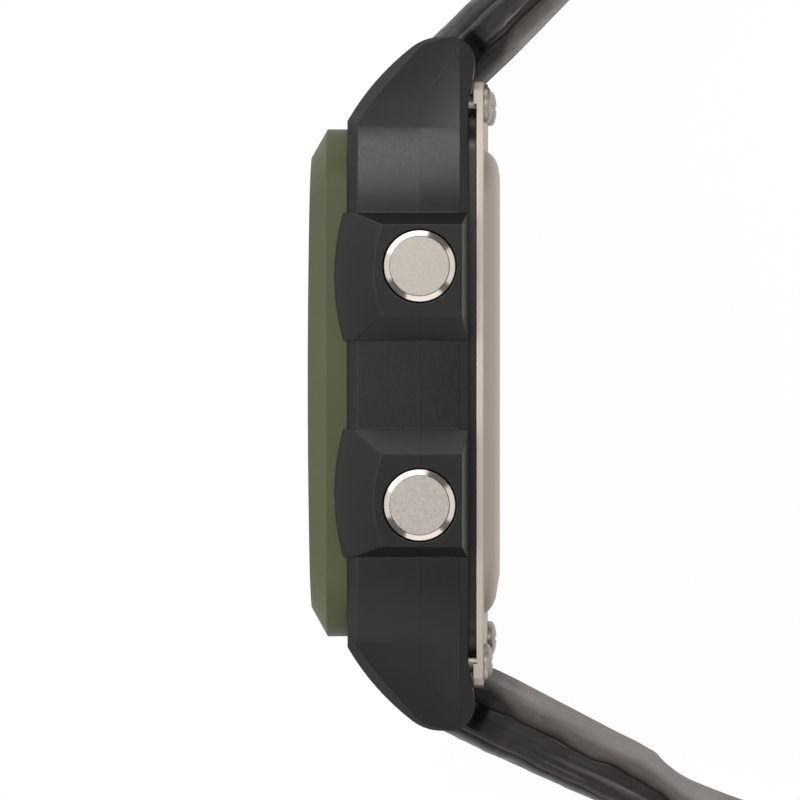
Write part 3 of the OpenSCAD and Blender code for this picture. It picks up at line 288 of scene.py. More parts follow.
def mouldedFinish(name, colour, rough=0.45, scale=2600.0, bump=0.00001, stain=0.12,
                  edge=0.0, radius=0.00012, gloss=0.5, line=False):
    # moulded, sprayed or printed plastic, rubber and resin
    mat, tree, shader = newMaterial(name)
    marks = useGroup(tree, grain, Scale=scale)
    rim = useGroup(tree, softEdge, Radius=radius)
    base = mixColour(tree, marks.outputs["Stains"], opaque(colour, 1 - stain), opaque(colour))
    # edges turn paler: wear, with a painted highlight along them
    wear = mathNode(tree, "MULTIPLY", rim.outputs["Edge"], edge)
    base = mixColour(tree, wear, base, wearAndSheenColour(colour))
    height = marks.outputs["Height"]
    if line:
        look = finishSetup["mouldLine"]
        mark = useGroup(tree, mouldLine).outputs["Line"]
        blend = mathNode(tree, "MULTIPLY", mark, look["blend"])
        base = mixColour(tree, blend, base, opaque(colour, look["shade"]))
        height = mathNode(tree, "ADD", height, mathNode(tree, "MULTIPLY", mark, look["rise"]))
    tree.links.new(base, shader.inputs["Base Color"])
    roughness = roughBy(tree, marks.outputs["Height"], rough, "mouldedSpread")
    tree.links.new(roughness, shader.inputs["Roughness"])
    shader.inputs["Specular IOR Level"].default_value = gloss
    bumpFrom(tree, height, shader, finishSetup["mouldedBump"], bump, rim.outputs["Normal"])
    return mat


def metalFinish(name, colour, rough=0.3, stretch=(60.0, 5000.0, 5000.0), bump=0.000004,
                radius=0.0001, turned=False, ends=False):
    # brushed, turned or plated metal
    mat, tree, shader = newMaterial(name)
    marks = useGroup(tree, brush, Stretch=stretch)
    rim = useGroup(tree, softEdge, Radius=radius)
    base = mixColour(tree, marks.outputs["Streaks"], opaque(colour, finishSetup["streak"]), opaque(colour))
    roughness = roughBy(tree, marks.outputs["Height"], rough, "metalSpread")
    if turned:
        look = finishSetup["turned"]
        face = useGroup(tree, turnedFace)
        base = mixColour(tree, face.outputs["Ring"], base, opaque(colour, look["ring"]))
        base = mixColour(tree, face.outputs["Line"], base, opaque(colour, look["line"]))
        disc = mathNode(tree, "SUBTRACT", 1.0, face.outputs["Ring"])
        matte = mathNode(tree, "MULTIPLY_ADD", disc, look["matte"], 1 - look["matte"])
        roughness = mathNode(tree, "MULTIPLY", roughness, matte)
    # painted shade on the ends of the ears
    if ends:
        look = finishSetup["earTips"]
        tips = mathNode(tree, "MULTIPLY", useGroup(tree, earTips).outputs["Tips"], look["blend"])
        base = mixColour(tree, tips, base, opaque(colour, look["shade"]))
    polish = mathNode(tree, "MULTIPLY_ADD", rim.outputs["Edge"], finishSetup["polish"], 1.0)
    tree.links.new(base, shader.inputs["Base Color"])
    tree.links.new(mathNode(tree, "MULTIPLY", roughness, polish), shader.inputs["Roughness"])
    shader.inputs["Metallic"].default_value = 1.0
    bumpFrom(tree, marks.outputs["Height"], shader, finishSetup["metalBump"], bump, rim.outputs["Normal"])
    return mat


def glassFinish(name, colour, rough=0.0, smear=0.012):
    # clear glass with faint smears
    mat, tree, shader = newMaterial(name)
    marks = useGroup(tree, grain, Scale=900.0)
    base = mixColour(tree, marks.outputs["Stains"], opaque(colour, 0.98), opaque(colour))
    tree.links.new(base, shader.inputs["Base Color"])
    roughness = ramp(tree, marks.outputs["Stains"], 0.0, 1.0, rough, rough + smear)
    tree.links.new(roughness, shader.inputs["Roughness"])
    shader.inputs["Transmission Weight"].default_value = 1.0
    shader.inputs["IOR"].default_value = 1.5
    return mat


# stretch: how often the brush marks change along X, Y and Z, in 1/m
finishes = {
    "case_resin": (mouldedFinish, {
        "colour": (0.008, 0.0072, 0.007), "rough": 0.31, "scale": 7000.0, "bump": 0.0000015,
        "edge": 0.25, "gloss": 0.26, "line": True}),
    "bezel_coat": (mouldedFinish, {
        "colour": (0.055, 0.0625, 0.0245), "rough": 0.52, "scale": 7000.0, "bump": 0.000003,
        "edge": 0.4, "gloss": 0.28}),
    "crystal_glass": (glassFinish, {"colour": (0.96, 0.97, 0.97)}),
    "black_rubber": (mouldedFinish, {"colour": (0.012, 0.012, 0.012), "rough": 0.65}),
    "mask_print": (mouldedFinish, {"colour": (0.02, 0.022, 0.02), "rough": 0.35, "bump": 0.000003}),
    "display_glass": (mouldedFinish, {
        "colour": (0.3, 0.33, 0.27), "rough": 0.22, "scale": 5000.0, "bump": 0.000001, "stain": 0.05}),
    "display_digits": (mouldedFinish, {"colour": (0.012, 0.014, 0.012), "rough": 0.3, "bump": 0.000001}),
    "light_guide": (mouldedFinish, {"colour": (0.6, 0.63, 0.56), "rough": 0.25, "bump": 0.000002}),
    "module_plastic": (mouldedFinish, {"colour": (0.62, 0.61, 0.56), "rough": 0.5}),
    "contact_rubber": (mouldedFinish, {"colour": (0.1, 0.13, 0.14), "rough": 0.6, "stain": 0.4}),
    "board_green": (mouldedFinish, {"colour": (0.013, 0.1, 0.035), "rough": 0.3, "stain": 0.25}),
    "chip_black": (mouldedFinish, {"colour": (0.01, 0.01, 0.01), "rough": 0.25}),
    "tray_plastic": (mouldedFinish, {"colour": (0.035, 0.035, 0.035), "rough": 0.5}),
    "strap_foam": (mouldedFinish, {
        "colour": (0.17, 0.15, 0.13), "rough": 0.9, "scale": 1500.0, "bump": 0.00008}),
    "plain_steel": (metalFinish, {"colour": (0.6, 0.6, 0.58), "rough": 0.3}),
    "cell_steel": (metalFinish, {
        "colour": (0.7, 0.7, 0.69), "rough": 0.2, "stretch": (900.0, 900.0, 900.0)}),
    "brass": (metalFinish, {"colour": (0.72, 0.52, 0.2), "rough": 0.25}),
    "back_steel": (metalFinish, {
        "colour": (0.5, 0.435, 0.385), "rough": 0.6, "stretch": (5000.0, 60.0, 5000.0), "ends": True}),
    "screw_steel": (metalFinish, {
        "colour": (0.42, 0.375, 0.33), "rough": 0.45, "stretch": (900.0, 900.0, 900.0)}),
    "pusher_steel": (metalFinish, {
        "colour": (0.34, 0.306, 0.278), "rough": 0.4, "stretch": (6000.0, 6000.0, 200.0), "turned": True}),
    "bar_steel": (metalFinish, {"colour": (0.62, 0.62, 0.61), "rough": 0.28}),
    "buckle_steel": (metalFinish, {
        "colour": (0.7, 0.68, 0.66), "rough": 0.26, "stretch": (4500.0, 4500.0, 60.0)}),
}
crispAngle = {"usual": 20, "screw_steel": 50}  # degrees: a sharper edge stays crisp


def smoothNode(node, angle):
    # round faces shade smoothly, and edges sharper than the angle stay crisp
    weld = node.modifiers.new("weld", "WELD")
    weld.merge_threshold = 1e-6
    split = node.modifiers.new("crisp", "EDGE_SPLIT")
    split.split_angle = math.radians(angle)
    node.data.polygons.foreach_set("use_smooth", [True] * len(node.data.polygons))


def dressNodes():
    made = {}
    for part in frame["record"]["subparts"]:
        slot = part["material_slot"]
        if slot not in finishes:
            continue  # the leather pieces are made further on
        if slot not in made:
            maker, values = finishes[slot]
            first, *others = slot.split("_")
            made[slot] = maker(first + "".join(word.capitalize() for word in others), **values)
        node = nodes[part["node"]]
        node.data.materials.clear()
        node.data.materials.append(made[slot])
        smoothNode(node, crispAngle.get(slot, crispAngle["usual"]))


dressNodes()
print("case, module and metal finishes done")

# row millimetres; s is a place along a strap half, counted from its spring bar
strapSetup = {
    "barX": -2.77, "barY": 21.55,  # spring bars
    "thick": 4.6,  # over the padding
    "skin": 1.15,  # half the thickness past the padding
    "edgeHalf": 0.85, "seam": -0.3,  # the edge past the padding, and where leather and lining meet on it
    "liningEdge": 0.9,  # the lining's edge, as a share of edgeHalf
    "padThin": 0.26, "padThinOver": (3.0, 11.0), "padFade": (12.5, 17.5),  # the padding thins, then ends
    "width": (22.0, 18.0), "taper": (10.0, 58.0),  # at the case and at the far end, and where it narrows
    "recess": 0.45, "recessFade": (1.3, 2.3),  # narrower where it goes in between the lugs
    "leatherIn": 0.03, "liningIn": 0.05,  # how far the edges lie inside the width
    "leatherRim": (0.3, 0.1), "liningRim": (0.45, 0.06),  # rounding of the rims: height and width
    "leatherBulge": (6.0, 2.4), "liningBulge": (5.0, 2.2),  # reach and fullness
    "flange": 1.5,  # flat rim outside the stitches
    "groove": (0.16, 0.28),  # depth and width of the stitches' groove
    "liningTurn": (0.12, 14.2, 0.5),  # end of the padded lining, turned under: height, place, width
    "tipRound": 0.6, "tipBlunt": 0.4, "tipLast": 0.02,  # the rounded tip
    "foldLeast": 0.0004, "tipLeast": 0.02,  # squares of the least thickness left at the ends
    "step": 0.35, "fineTo": 30.0, "coarser": 1.6,  # sections along the strap
    "firstFold": (2, 14, 28, 42, 56, 70, 82), "lastFold": (0, 18, 36, 54, 70, 84),  # degrees round the folds
    "tipTurns": range(50, 90, 4),  # degrees round the tip
}
# edge: heights of the outer leather's edge, the seam and the lining's edge where the strap is padded
# ridges: height on the edge, width and strength of the ridges along it, with their wear and painted
# highlight
longArm = {
    "side": -1, "angle": 25.8, "straight": 14.0, "curl": 60.0, "endAngle": -46.7,
    "length": 115.0, "tail": 8.0, "edge": (1.3, -0.95, -1.3),
    "ridges": ((0.1, 0.03, 0.7), (0.36, 0.04, 0.3), (0.62, 0.04, 0.25)),
}
shortArm = {
    "side": 1, "angle": 43.8, "straight": 15.0, "curl": 40.0, "endAngle": 0.0,
    "length": 75.0, "tail": 0.0, "edge": (0.95, -1.1, -1.5),
    "ridges": ((0.09, 0.04, 0.9), (0.32, 0.035, 0.9)),
}
# waves in the edges: height and pattern
waveSetup = {
    "rim": (0.14, (0.0, 21.0, 1.8)), "seam": (0.12, (0.0, 8.0, 2.6)), "seamFine": (0.12, (0.0, 14.0, 0.9)),
    "seamPadded": 0.2,  # more height of the seam's waves where the strap is padded
}


def clampRamp(s, a, b):
    return min(1.0, max(0.0, (s - a) / (b - a)))


def softRamp(s, a, b):
    return (1 - math.cos(math.pi * clampRamp(s, a, b))) / 2


def bead(n, centre, width):
    return math.exp(-((n - centre) / width) ** 2)


def creaseAt(s, across, pattern):
    # noise along and across the strap
    # pattern: how fast it changes across, its place in the noise and its length in millimetres
    stretch, shift, length = pattern
    return noise.noise(Vector((s / length, across * stretch + shift, 3.7)))


def roundDrop(radius, inset):
    # how far a rounded rim lies under its flat, at a distance in from the edge
    return radius - math.sqrt(max(0.0, radius ** 2 - (radius - inset) ** 2))


def bulge(edge, full, share, fullness):
    return edge + (full - edge) * math.sqrt(max(0.0, 1 - (1 - share) ** fullness))


def armPlace(arm, s):
    # distance outwards, distance back and angle of the strap's middle line at s from its spring bar
    start, end = math.radians(arm["angle"]), math.radians(arm["endAngle"])
    curlLength = arm["curl"] * (start - end)
    angle = start - min(max(s - arm["straight"], 0.0), curlLength) / arm["curl"]
    before = min(s, arm["straight"])
    after = max(0.0, s - arm["straight"] - curlLength)
    curlOut = arm["curl"] * (math.cos(angle) - math.cos(start))
    curlBack = arm["curl"] * (math.sin(start) - math.sin(angle))
    out = before * math.sin(start) + curlOut + after * math.sin(end)
    back = before * math.cos(start) + curlBack + after * math.cos(end)
    return out, back, angle


def armPoint(arm, s, x, n):
    # s along the strap, x across it and n out of its upper side, as a row point in metres
    out, back, angle = armPlace(arm, s)
    rowX = strapSetup["barX"] + back - n * math.sin(angle)
    rowY = arm["side"] * (strapSetup["barY"] + out + n * math.cos(angle))
    return Vector((rowX, rowY, x)) * milli


def armTurn(arm, s):
    # turns an upright thing at s along the strap so that its z points out of the strap's upper side
    angle = armPlace(arm, s)[2]
    along = Vector((math.cos(angle), arm["side"] * math.sin(angle), 0))
    up = Vector((-math.sin(angle), arm["side"] * math.cos(angle), 0))
    turn = Matrix((along.cross(up), along, up)).transposed().to_4x4()
    return Matrix.Translation(armPoint(arm, s, 0, 0)) @ turn


def padShare(s):
    return 1 - softRamp(s, *strapSetup["padFade"])


def padAt(s):
    half = strapSetup["thick"] / 2 - strapSetup["skin"]
    return (half - strapSetup["padThin"] * clampRamp(s, *strapSetup["padThinOver"])) * padShare(s)


def waveAt(name, s, more=0.0):
    height, pattern = waveSetup[name]
    return (height + more) * creaseAt(s, 0.0, pattern)


def edgeAt(arm, s):
    # heights of the leather's edge, the seam and the lining's edge at s
    share = padShare(s)
    half = strapSetup["edgeHalf"]
    thin = (half, strapSetup["seam"], -half * strapSetup["liningEdge"])
    top, seam, low = (a + (b - a) * share for a, b in zip(thin, arm["edge"]))
    top += share * waveAt("rim", s)
    seam += waveAt("seam", s, waveSetup["seamPadded"] * share) + waveAt("seamFine", s)
    return top, seam, low


def halfWidth(arm, s):
    wide, narrow = strapSetup["width"]
    half = (wide + (narrow - wide) * clampRamp(s, *strapSetup["taper"])) / 2
    half -= strapSetup["recess"] * (1 - softRamp(s, *strapSetup["recessFade"]))
    tail = arm["tail"]
    over = s - arm["length"] + tail
    if tail and over > 0:
        left = max(strapSetup["tipBlunt"], tail * tail - min(over, tail) ** 2)
        half = min(half, math.sqrt(left) * half / tail)
    return half


def endFactor(arm, s):
    # the fold round the spring bar and the one round the buckle's bar, or the rounded tip
    first, last, tip = strapSetup["thick"] / 2, strapSetup["skin"], strapSetup["tipRound"]
    over = s - arm["length"]
    if s < 0:
        return math.sqrt(max(strapSetup["foldLeast"], 1 - (s / first) ** 2))
    if arm["tail"] and over > -tip:
        return math.sqrt(max(strapSetup["tipLeast"], 1 - min(1.0, (over + tip) / tip) ** 2))
    if not arm["tail"] and over > 0:
        return math.sqrt(max(strapSetup["foldLeast"], 1 - (over / last) ** 2))
    return 1.0


# wrinkles of the outer leather: wide and fine ones, each with its strength and pattern
wrinkleSetup = {
    "height": 0.035,  # for each millimetre of padding
    "flatHeight": 0.4,  # as if there were this much more of it
    "wide": (1.0, (0.35, 0.0, 1.6)), "fine": (0.8, (0.9, 20.0, 0.6)),
    "full": 1.2,  # distance in from the edge where they are at their height
    "calm": 0.7, "calmOver": (4.0, 7.0),  # less towards the middle of the strap
}
liningWave = (0.02, (0.4, 50.0, 3.0))  # height and pattern


def wrinkleAt(s, inset):
    total = 0.0
    for strength, pattern in (wrinkleSetup["wide"], wrinkleSetup["fine"]):
        total += strength * creaseAt(s, inset, pattern)
    height = wrinkleSetup["height"] * (wrinkleSetup["flatHeight"] + padAt(s))
    calm = 1 - wrinkleSetup["calm"] * clampRamp(inset, *wrinkleSetup["calmOver"])
    return total * height * calm * min(1.0, inset / wrinkleSetup["full"])


def topHeight(arm, s, half, inset):
    # height of the outer leather at a distance in from the edge
    edge, full = edgeAt(arm, s)[0], strapSetup["skin"] + padAt(s)
    flange, rim = strapSetup["flange"], strapSetup["leatherRim"][0]
    reach, fullness = strapSetup["leatherBulge"]
    base = edge
    if inset < rim:
        base -= roundDrop(rim, inset)
    if inset > flange:
        share = min(1.0, (inset - flange) / max(1.0, min(half, reach) - flange))
        base = bulge(edge, full, share, fullness)
    depth, width = strapSetup["groove"]
    return base - depth * bead(inset, flange, width) + wrinkleAt(s, inset)


def liningHeight(arm, s, half, inset):
    # how far the lining bulges down at a distance in from the edge
    edge, full = -edgeAt(arm, s)[2], strapSetup["skin"] + padAt(s)
    rim = strapSetup["liningRim"][0]
    reach, fullness = strapSetup["liningBulge"]
    if inset < rim:
        base = edge - roundDrop(rim, inset)
    else:
        base = bulge(edge, full, min(1.0, (inset - rim) / max(1.0, min(half, reach) - rim)), fullness)
    height, place, width = strapSetup["liningTurn"]
    wave, pattern = liningWave
    return base + wave * creaseAt(s, inset, pattern) + height * bead(s, place, width) * min(1.0, inset)


# how far in from the edge a section's points lie, in millimetres: closer where half the width is less
sectionHalf = 8.8
sectionSteps = (0.0, 0.04, 0.12, 0.22, 0.34, 0.5, 0.75, 1.0, 1.2, 1.34, 1.44, 1.5, 1.56,
                1.66, 1.8, 2.0, 2.3, 2.7, 3.2, 4.0, 5.0, 6.2, 7.5)


def edgeSteps(half):
    return [v * min(1.0, half / sectionHalf) for v in sectionSteps] + [half]


def linkPiece(name, mesh):
    piece = bpy.data.objects.new(name, mesh)
    scene.collection.objects.link(piece)
    return piece


def smoothPiece(name, mesh):
    mesh.polygons.foreach_set("use_smooth", [True] * len(mesh.polygons))
    return linkPiece(name, mesh)


def ringFaces(rows, count, closed):
    # the faces between rings of count points, and back to the first ring if it is closed
    faces = []
    for i in range(rows if closed else rows - 1):
        here, there = i * count, (i + 1) % rows * count
        for j in range(count):
            k = (j + 1) % count
            faces.append((here + j, here + k, there + k, there + j))
    return faces


def leatherPiece(name, points, shades, faces):
    # a closed piece that keeps a shade at each point: painted light and shade, and wear
    mesh = bpy.data.meshes.new(name)
    mesh.from_pydata(points, [], faces)
    mesh.attributes.new("worn", "FLOAT", "POINT").data.foreach_set("value", shades)
    build = bmesh.new()
    build.from_mesh(mesh)
    bmesh.ops.recalc_face_normals(build, faces=build.faces)
    build.to_mesh(mesh)
    build.free()
    return smoothPiece(name, mesh)


def strapLoft(name, arm, stations, sectionFor):
    # closed loft through one ring of (x, n, shade) for each station
    rings = [sectionFor(s) for s in stations]
    points = [armPoint(arm, s, x, n) for s, ring in zip(stations, rings) for x, n, shade in ring]
    shades = [shade for ring in rings for x, n, shade in ring]
    rows, count = len(rings), len(rings[0])
    faces = ringFaces(rows, count, False)
    faces.append(tuple(range(count - 1, -1, -1)))
    faces.append(tuple(range((rows - 1) * count, rows * count)))
    return leatherPiece(name, points, shades, faces)


def stationsFor(arm):
    # places along the strap where it gets a section
    first, step = strapSetup["thick"] / 2, strapSetup["step"]
    start = [-first * math.cos(math.radians(a)) for a in strapSetup["firstFold"]]
    end = arm["length"]
    if arm["tail"]:
        last = [end - arm["tail"] * (1 - math.sin(math.radians(a))) for a in strapSetup["tipTurns"]]
        stop = last[0]
        last.append(end - strapSetup["tipLast"])
    else:
        last = [end + strapSetup["skin"] * math.sin(math.radians(a)) for a in strapSetup["lastFold"]]
        stop = end
    middle = []
    s = 0.0
    while s < stop - step * 0.5:
        middle.append(s)
        s += step if s < strapSetup["fineTo"] else step * strapSetup["coarser"]
    return start + middle + last


# shades run from -1, dark, to 1, pale: painted shade and light, and some wear
# this painted shadow fades out along the strap and up its edge
lugShadowSetup = {"dark": 1.2, "along": (1.2, 4.6), "above": (0.6, 1.6)}


def paintedLugShadow(s, n):
    # painted shadow: how dark the strap gets where it goes in between the lugs
    along, above = lugShadowSetup["along"], lugShadowSetup["above"]
    return lugShadowSetup["dark"] * (1 - softRamp(s, *along)) * (1 - clampRamp(n, *above))


# the outer leather's edge, its ridges, and the painted highlights and shades of both edge and top, with some
# wear
edgeWearAndLightSetup = {
    # points up the edge
    "shares": (0.0, 0.05, 0.1, 0.16, 0.22, 0.28, 0.34, 0.4, 0.48, 0.56, 0.64, 0.72, 0.8, 0.87, 0.94),
    "seamGap": 0.04,  # the leather and the lining each stay this far off the seam
    "wander": (0.08, (40.0, 0.0, 4.0)),  # how far a ridge drifts up and down
    "lift": 0.08, "glowWidth": 1.2,  # height of a ridge, and how much wider its painted highlight and wear are
    "fade": (-0.35, 0.25), "fadePattern": (90.0, 60.0, 4.0), "faintest": 0.3,  # where ridges fade out
    "dent": (0.14, 0.16),  # depth and width of the edge's pull at the seam
    "dimples": (0.03, (5.0, 70.0, 0.6)),  # depth and pattern
    "seamLine": (0.12, 0.2), "seamLineFade": (-0.3, 0.4), "seamLinePattern": (0.0, 33.0, 2.2),  # dark line
    "start": (1.6, 3.4),  # painted highlights and wear come in over this stretch
    "streak": (0.75, (4.6, 5.0, 5.0)),  # painted highlight streaks: shade and pattern
    "plain": -0.15,  # shade of the edge away from its ridges and streaks
    "rimGlow": (0.33, 0.1, 0.09),  # painted highlight along the rim: shade, place and width
    "grooveDark": (0.5, 0.2),  # painted shade in the stitches' groove: shade and width
    "grooveGlow": (0.25, 1.9, 0.2),  # painted highlight beside the groove: shade, place and width
}


def ridgesAt(arm, s, u):
    # height of the ridges, and their wear with its painted highlight, at a share of the edge's height
    drift, pattern = edgeWearAndLightSetup["wander"]
    faintest = edgeWearAndLightSetup["faintest"]
    lift = glow = 0.0
    for place, width, amount in arm["ridges"]:
        centre = place + drift * creaseAt(s, place, pattern)
        clear = clampRamp(creaseAt(s, place, edgeWearAndLightSetup["fadePattern"]), *edgeWearAndLightSetup["fade"])
        amount *= faintest + (1 - faintest) * clear
        lift += edgeWearAndLightSetup["lift"] * amount * bead(u, centre, width)
        glow += amount * bead(u, centre, width * edgeWearAndLightSetup["glowWidth"])
    return lift, glow


def seamLineAt(s, n, seam):
    # the dark line at the seam, which swells here and there
    width, swell = edgeWearAndLightSetup["seamLine"]
    swell *= clampRamp(creaseAt(s, 0.0, edgeWearAndLightSetup["seamLinePattern"]), *edgeWearAndLightSetup["seamLineFade"])
    return bead(n, seam, width + swell)


def rimPull(rim, inset):
    # how far a rounded rim draws in from the edge
    height, width = rim
    return width * (1 - min(1.0, inset / height))


def wholeRing(ring, factor):
    # the section with its mirrored half, thinned at the ends of the strap
    mirrored = [(-x, n, shade) for x, n, shade in reversed(ring) if abs(x) > 1e-6]
    return [(x, n * factor, shade) for x, n, shade in ring + mirrored]


def topSection(arm):
    rim, flange = strapSetup["leatherRim"], strapSetup["flange"]
    dentDepth, dentWidth = edgeWearAndLightSetup["dent"]
    dimpleDepth, dimples = edgeWearAndLightSetup["dimples"]
    streakGlow, streaks = edgeWearAndLightSetup["streak"]
    rimGlow, rimPlace, rimWidth = edgeWearAndLightSetup["rimGlow"]
    grooveDark, grooveWidth = edgeWearAndLightSetup["grooveDark"]
    besideGlow, besidePlace, besideWidth = edgeWearAndLightSetup["grooveGlow"]

    def section(s):
        half = halfWidth(arm, s) - strapSetup["leatherIn"]
        edge, seam = edgeAt(arm, s)[:2]
        seam, top = seam - edgeWearAndLightSetup["seamGap"], edge - rim[0]
        start = softRamp(s, *edgeWearAndLightSetup["start"])
        ring = []
        for u in edgeWearAndLightSetup["shares"]:
            n = seam + (top - seam) * u
            lift, glow = ridgesAt(arm, s, u)
            dent = dentDepth * bead(n, seam, dentWidth) + dimpleDepth * abs(creaseAt(s, n, dimples))
            streak = streakGlow * max(0.0, creaseAt(s, n, streaks))
            # painted highlights on the ridges and streaks, less the seam's dark line and the painted lug
            # shadow
            shade = (glow + streak) * start + edgeWearAndLightSetup["plain"] - seamLineAt(s, n, seam)
            ring.append((half - rim[1] - dent + lift, n, shade - paintedLugShadow(s, n)))
        for inset in edgeSteps(half):
            # painted highlight at the rim and beside the groove, painted shade in the groove
            shade = rimGlow * bead(inset, rimPlace, rimWidth) - grooveDark * bead(inset, flange, grooveWidth)
            shade += besideGlow * bead(inset, besidePlace, besideWidth)
            ring.append((half - rimPull(rim, inset) - inset, topHeight(arm, s, half, inset), shade))
        return wholeRing(ring, endFactor(arm, s))
    return section


liningSetup = {
    "shares": (0.0, 0.12, 0.25, 0.4, 0.6, 0.8),  # points down its edge
    "least": 0.12,  # least height of the edge
    "dent": (0.12, 0.14),  # depth and width of the edge's pull at the seam
    "seam": -0.9, "bulge": 1.5,  # shade at the seam, and what the bulge adds
    "waves": (0.15, (0.0, 90.0, 3.0)),  # strength and pattern of the shade's waves
}


def liningPaintedLight(s, n, seam):
    # painted light and shade: the lining is darkest at the seam and lighter the further it bulges out
    full = strapSetup["skin"] + padAt(s)
    share = min(1.0, max(0.0, (seam - n) / (seam + full)))
    strength, pattern = liningSetup["waves"]
    shade = liningSetup["seam"] + liningSetup["bulge"] * share + strength * creaseAt(s, 0.0, pattern)
    return shade - paintedLugShadow(s, n)


def liningSection(arm):
    rim = strapSetup["liningRim"]
    dentDepth, dentWidth = liningSetup["dent"]

    def section(s):
        half = halfWidth(arm, s) - strapSetup["liningIn"]
        seam, low = edgeAt(arm, s)[1:]
        bottom = min(low + rim[0], seam - liningSetup["least"])
        seam += edgeWearAndLightSetup["seamGap"]
        ring = []
        for u in liningSetup["shares"]:
            n = seam + (bottom - seam) * u
            dent = dentDepth * bead(n, seam, dentWidth)
            ring.append((half - rim[1] - dent, n, liningPaintedLight(s, n, seam)))
        for inset in edgeSteps(half):
            n = -max(liningHeight(arm, s, half, inset), -bottom)
            ring.append((half - rimPull(rim, inset) - inset, n, liningPaintedLight(s, n, seam)))
        return wholeRing(ring, endFactor(arm, s))
    return section


def applyCuts(piece, cutters):
    for cutter in cutters:
        cut = piece.modifiers.new("cut", "BOOLEAN")
        cut.operation, cut.solver, cut.object = "DIFFERENCE", "EXACT", cutter
    bpy.context.view_layer.update()
    mesh = bpy.data.meshes.new_from_object(piece.evaluated_get(bpy.context.evaluated_depsgraph_get()))
    piece.modifiers.clear()
    piece.data = mesh
    for cutter in cutters:
        bpy.data.objects.remove(cutter)


def makeCutter(shape, matrix, size):
    mesh = bpy.data.meshes.new("cutter")
    build = bmesh.new()
    if shape == "round":
        radius, depth = size
        bmesh.ops.create_cone(build, cap_ends=True, segments=40, radius1=radius, radius2=radius, depth=depth)
    else:
        bmesh.ops.create_cube(build, size=1.0)
        bmesh.ops.scale(build, vec=size, verts=build.verts)
    bmesh.ops.transform(build, matrix=matrix, verts=build.verts)
    build.to_mesh(mesh)
    build.free()
    return linkPiece("cutter", mesh)


strapCuts = {
    "slotHalf": 1.35, "slotStart": 2.6,  # the tongue's slot: half width, and where it starts before the bar
    "holeRadius": 1.0, "holeFirst": 67.0, "holePitch": 6.0, "holes": 7,
    "deep": 10.0,  # length of a cutter
}


def cuttersFor(arm):
    deep = strapCuts["deep"]
    if arm is shortArm:
        size = Vector((2 * strapCuts["slotHalf"], deep, deep)) * milli
        shift = Matrix.Translation(Vector((0, deep / 2 - strapCuts["slotStart"], 0)) * milli)
        return [makeCutter("box", armTurn(arm, arm["length"]) @ shift, size)]
    size = (strapCuts["holeRadius"] * milli, deep * milli)
    places = [strapCuts["holeFirst"] + i * strapCuts["holePitch"] for i in range(strapCuts["holes"])]
    return [makeCutter("round", armTurn(arm, s), size) for s in places]


stitchSetup = {
    "pitch": 2.4, "long": 1.9, "thick": 0.42, "flat": 2.4,  # half a thread's height is thick / flat
    "rise": 0.02, "slant": 4,
    "from": 3.4, "tipGap": 9.0, "foldGap": 5.0,  # where the rows start, and how far before the end they stop
}


def makeStitches(name, arm, setup):
    # one short thread after the other along both edges, sunk in their groove
    build = bmesh.new()
    inset = strapSetup["flange"]
    bend = Matrix.Diagonal((setup["thick"] / 2, setup["long"] / 2, setup["thick"] / setup["flat"], 1.0))
    s = setup["from"]
    while s < arm["length"] - setup["tipGap" if arm["tail"] else "foldGap"]:
        half = halfWidth(arm, s)
        n = topHeight(arm, s, half, inset) + setup["rise"]
        for sign in (-1, 1):
            across = sign * (half - strapSetup["leatherIn"] - inset)
            place = armTurn(arm, s) @ Matrix.Translation(Vector((across, 0, n)) * milli)
            slant = Matrix.Rotation(math.radians(setup["slant"] * sign), 4, "Z")
            made = bmesh.ops.create_icosphere(build, subdivisions=2, radius=milli)
            bmesh.ops.transform(build, matrix=place @ slant @ bend, verts=made["verts"])
        s += setup["pitch"]
    mesh = bpy.data.meshes.new(name)
    build.to_mesh(mesh)
    build.free()
    return smoothPiece(name, mesh)


def hideLeather(name, colour, worn, dark, rough, bump, pores, creases, wear, gloss=0.3):
    # leather whose colour also follows the shade kept at each point: painted light and shade, and wear
    mat, tree, shader = newMaterial(name)
    marks = useGroup(tree, hide, **{"Pore scale": pores, "Crease scale": creases})
    kept = addNode(tree, "Attribute", attribute_name="worn").outputs["Fac"]
    rubbed = mathNode(tree, "MULTIPLY", marks.outputs["Wear"], wear)
    base = mixColour(tree, rubbed, opaque(colour), opaque(worn))
    base = mixColour(tree, ramp(tree, kept, 0.0, 1.0), base, opaque(worn))
    base = mixColour(tree, ramp(tree, kept, 0.0, -1.0), base, opaque(dark))
    tree.links.new(base, shader.inputs["Base Color"])
    roughness = ramp(tree, marks.outputs["Height"], 0.1, 0.7, rough + 0.1, rough - 0.03)
    tree.links.new(roughness, shader.inputs["Roughness"])
    shader.inputs["Specular IOR Level"].default_value = gloss
    bumpFrom(tree, marks.outputs["Height"], shader, finishSetup["leatherBump"], bump)
    return mat


outerSetup = {
    "colour": (0.011, 0.0098, 0.009), "worn": (0.19, 0.17, 0.155), "dark": (0.003, 0.003, 0.003),
    "rough": 0.38, "bump": 0.00003, "pores": 1500.0, "creases": 240.0, "wear": 0.07, "gloss": 0.2,
}
liningLook = {
    "colour": (0.095, 0.08, 0.07), "worn": (0.27, 0.235, 0.21), "dark": (0.012, 0.01, 0.009),
    "rough": 0.6, "bump": 0.00002, "pores": 2200.0, "creases": 180.0, "wear": 0.3,
}
outerLeather = hideLeather("outerLeather", **outerSetup)
liningLeather = hideLeather("liningLeather", **liningLook)
waxedThread = mouldedFinish("waxedThread", (0.03, 0.028, 0.027), rough=0.5, scale=6000.0, bump=0.00002)


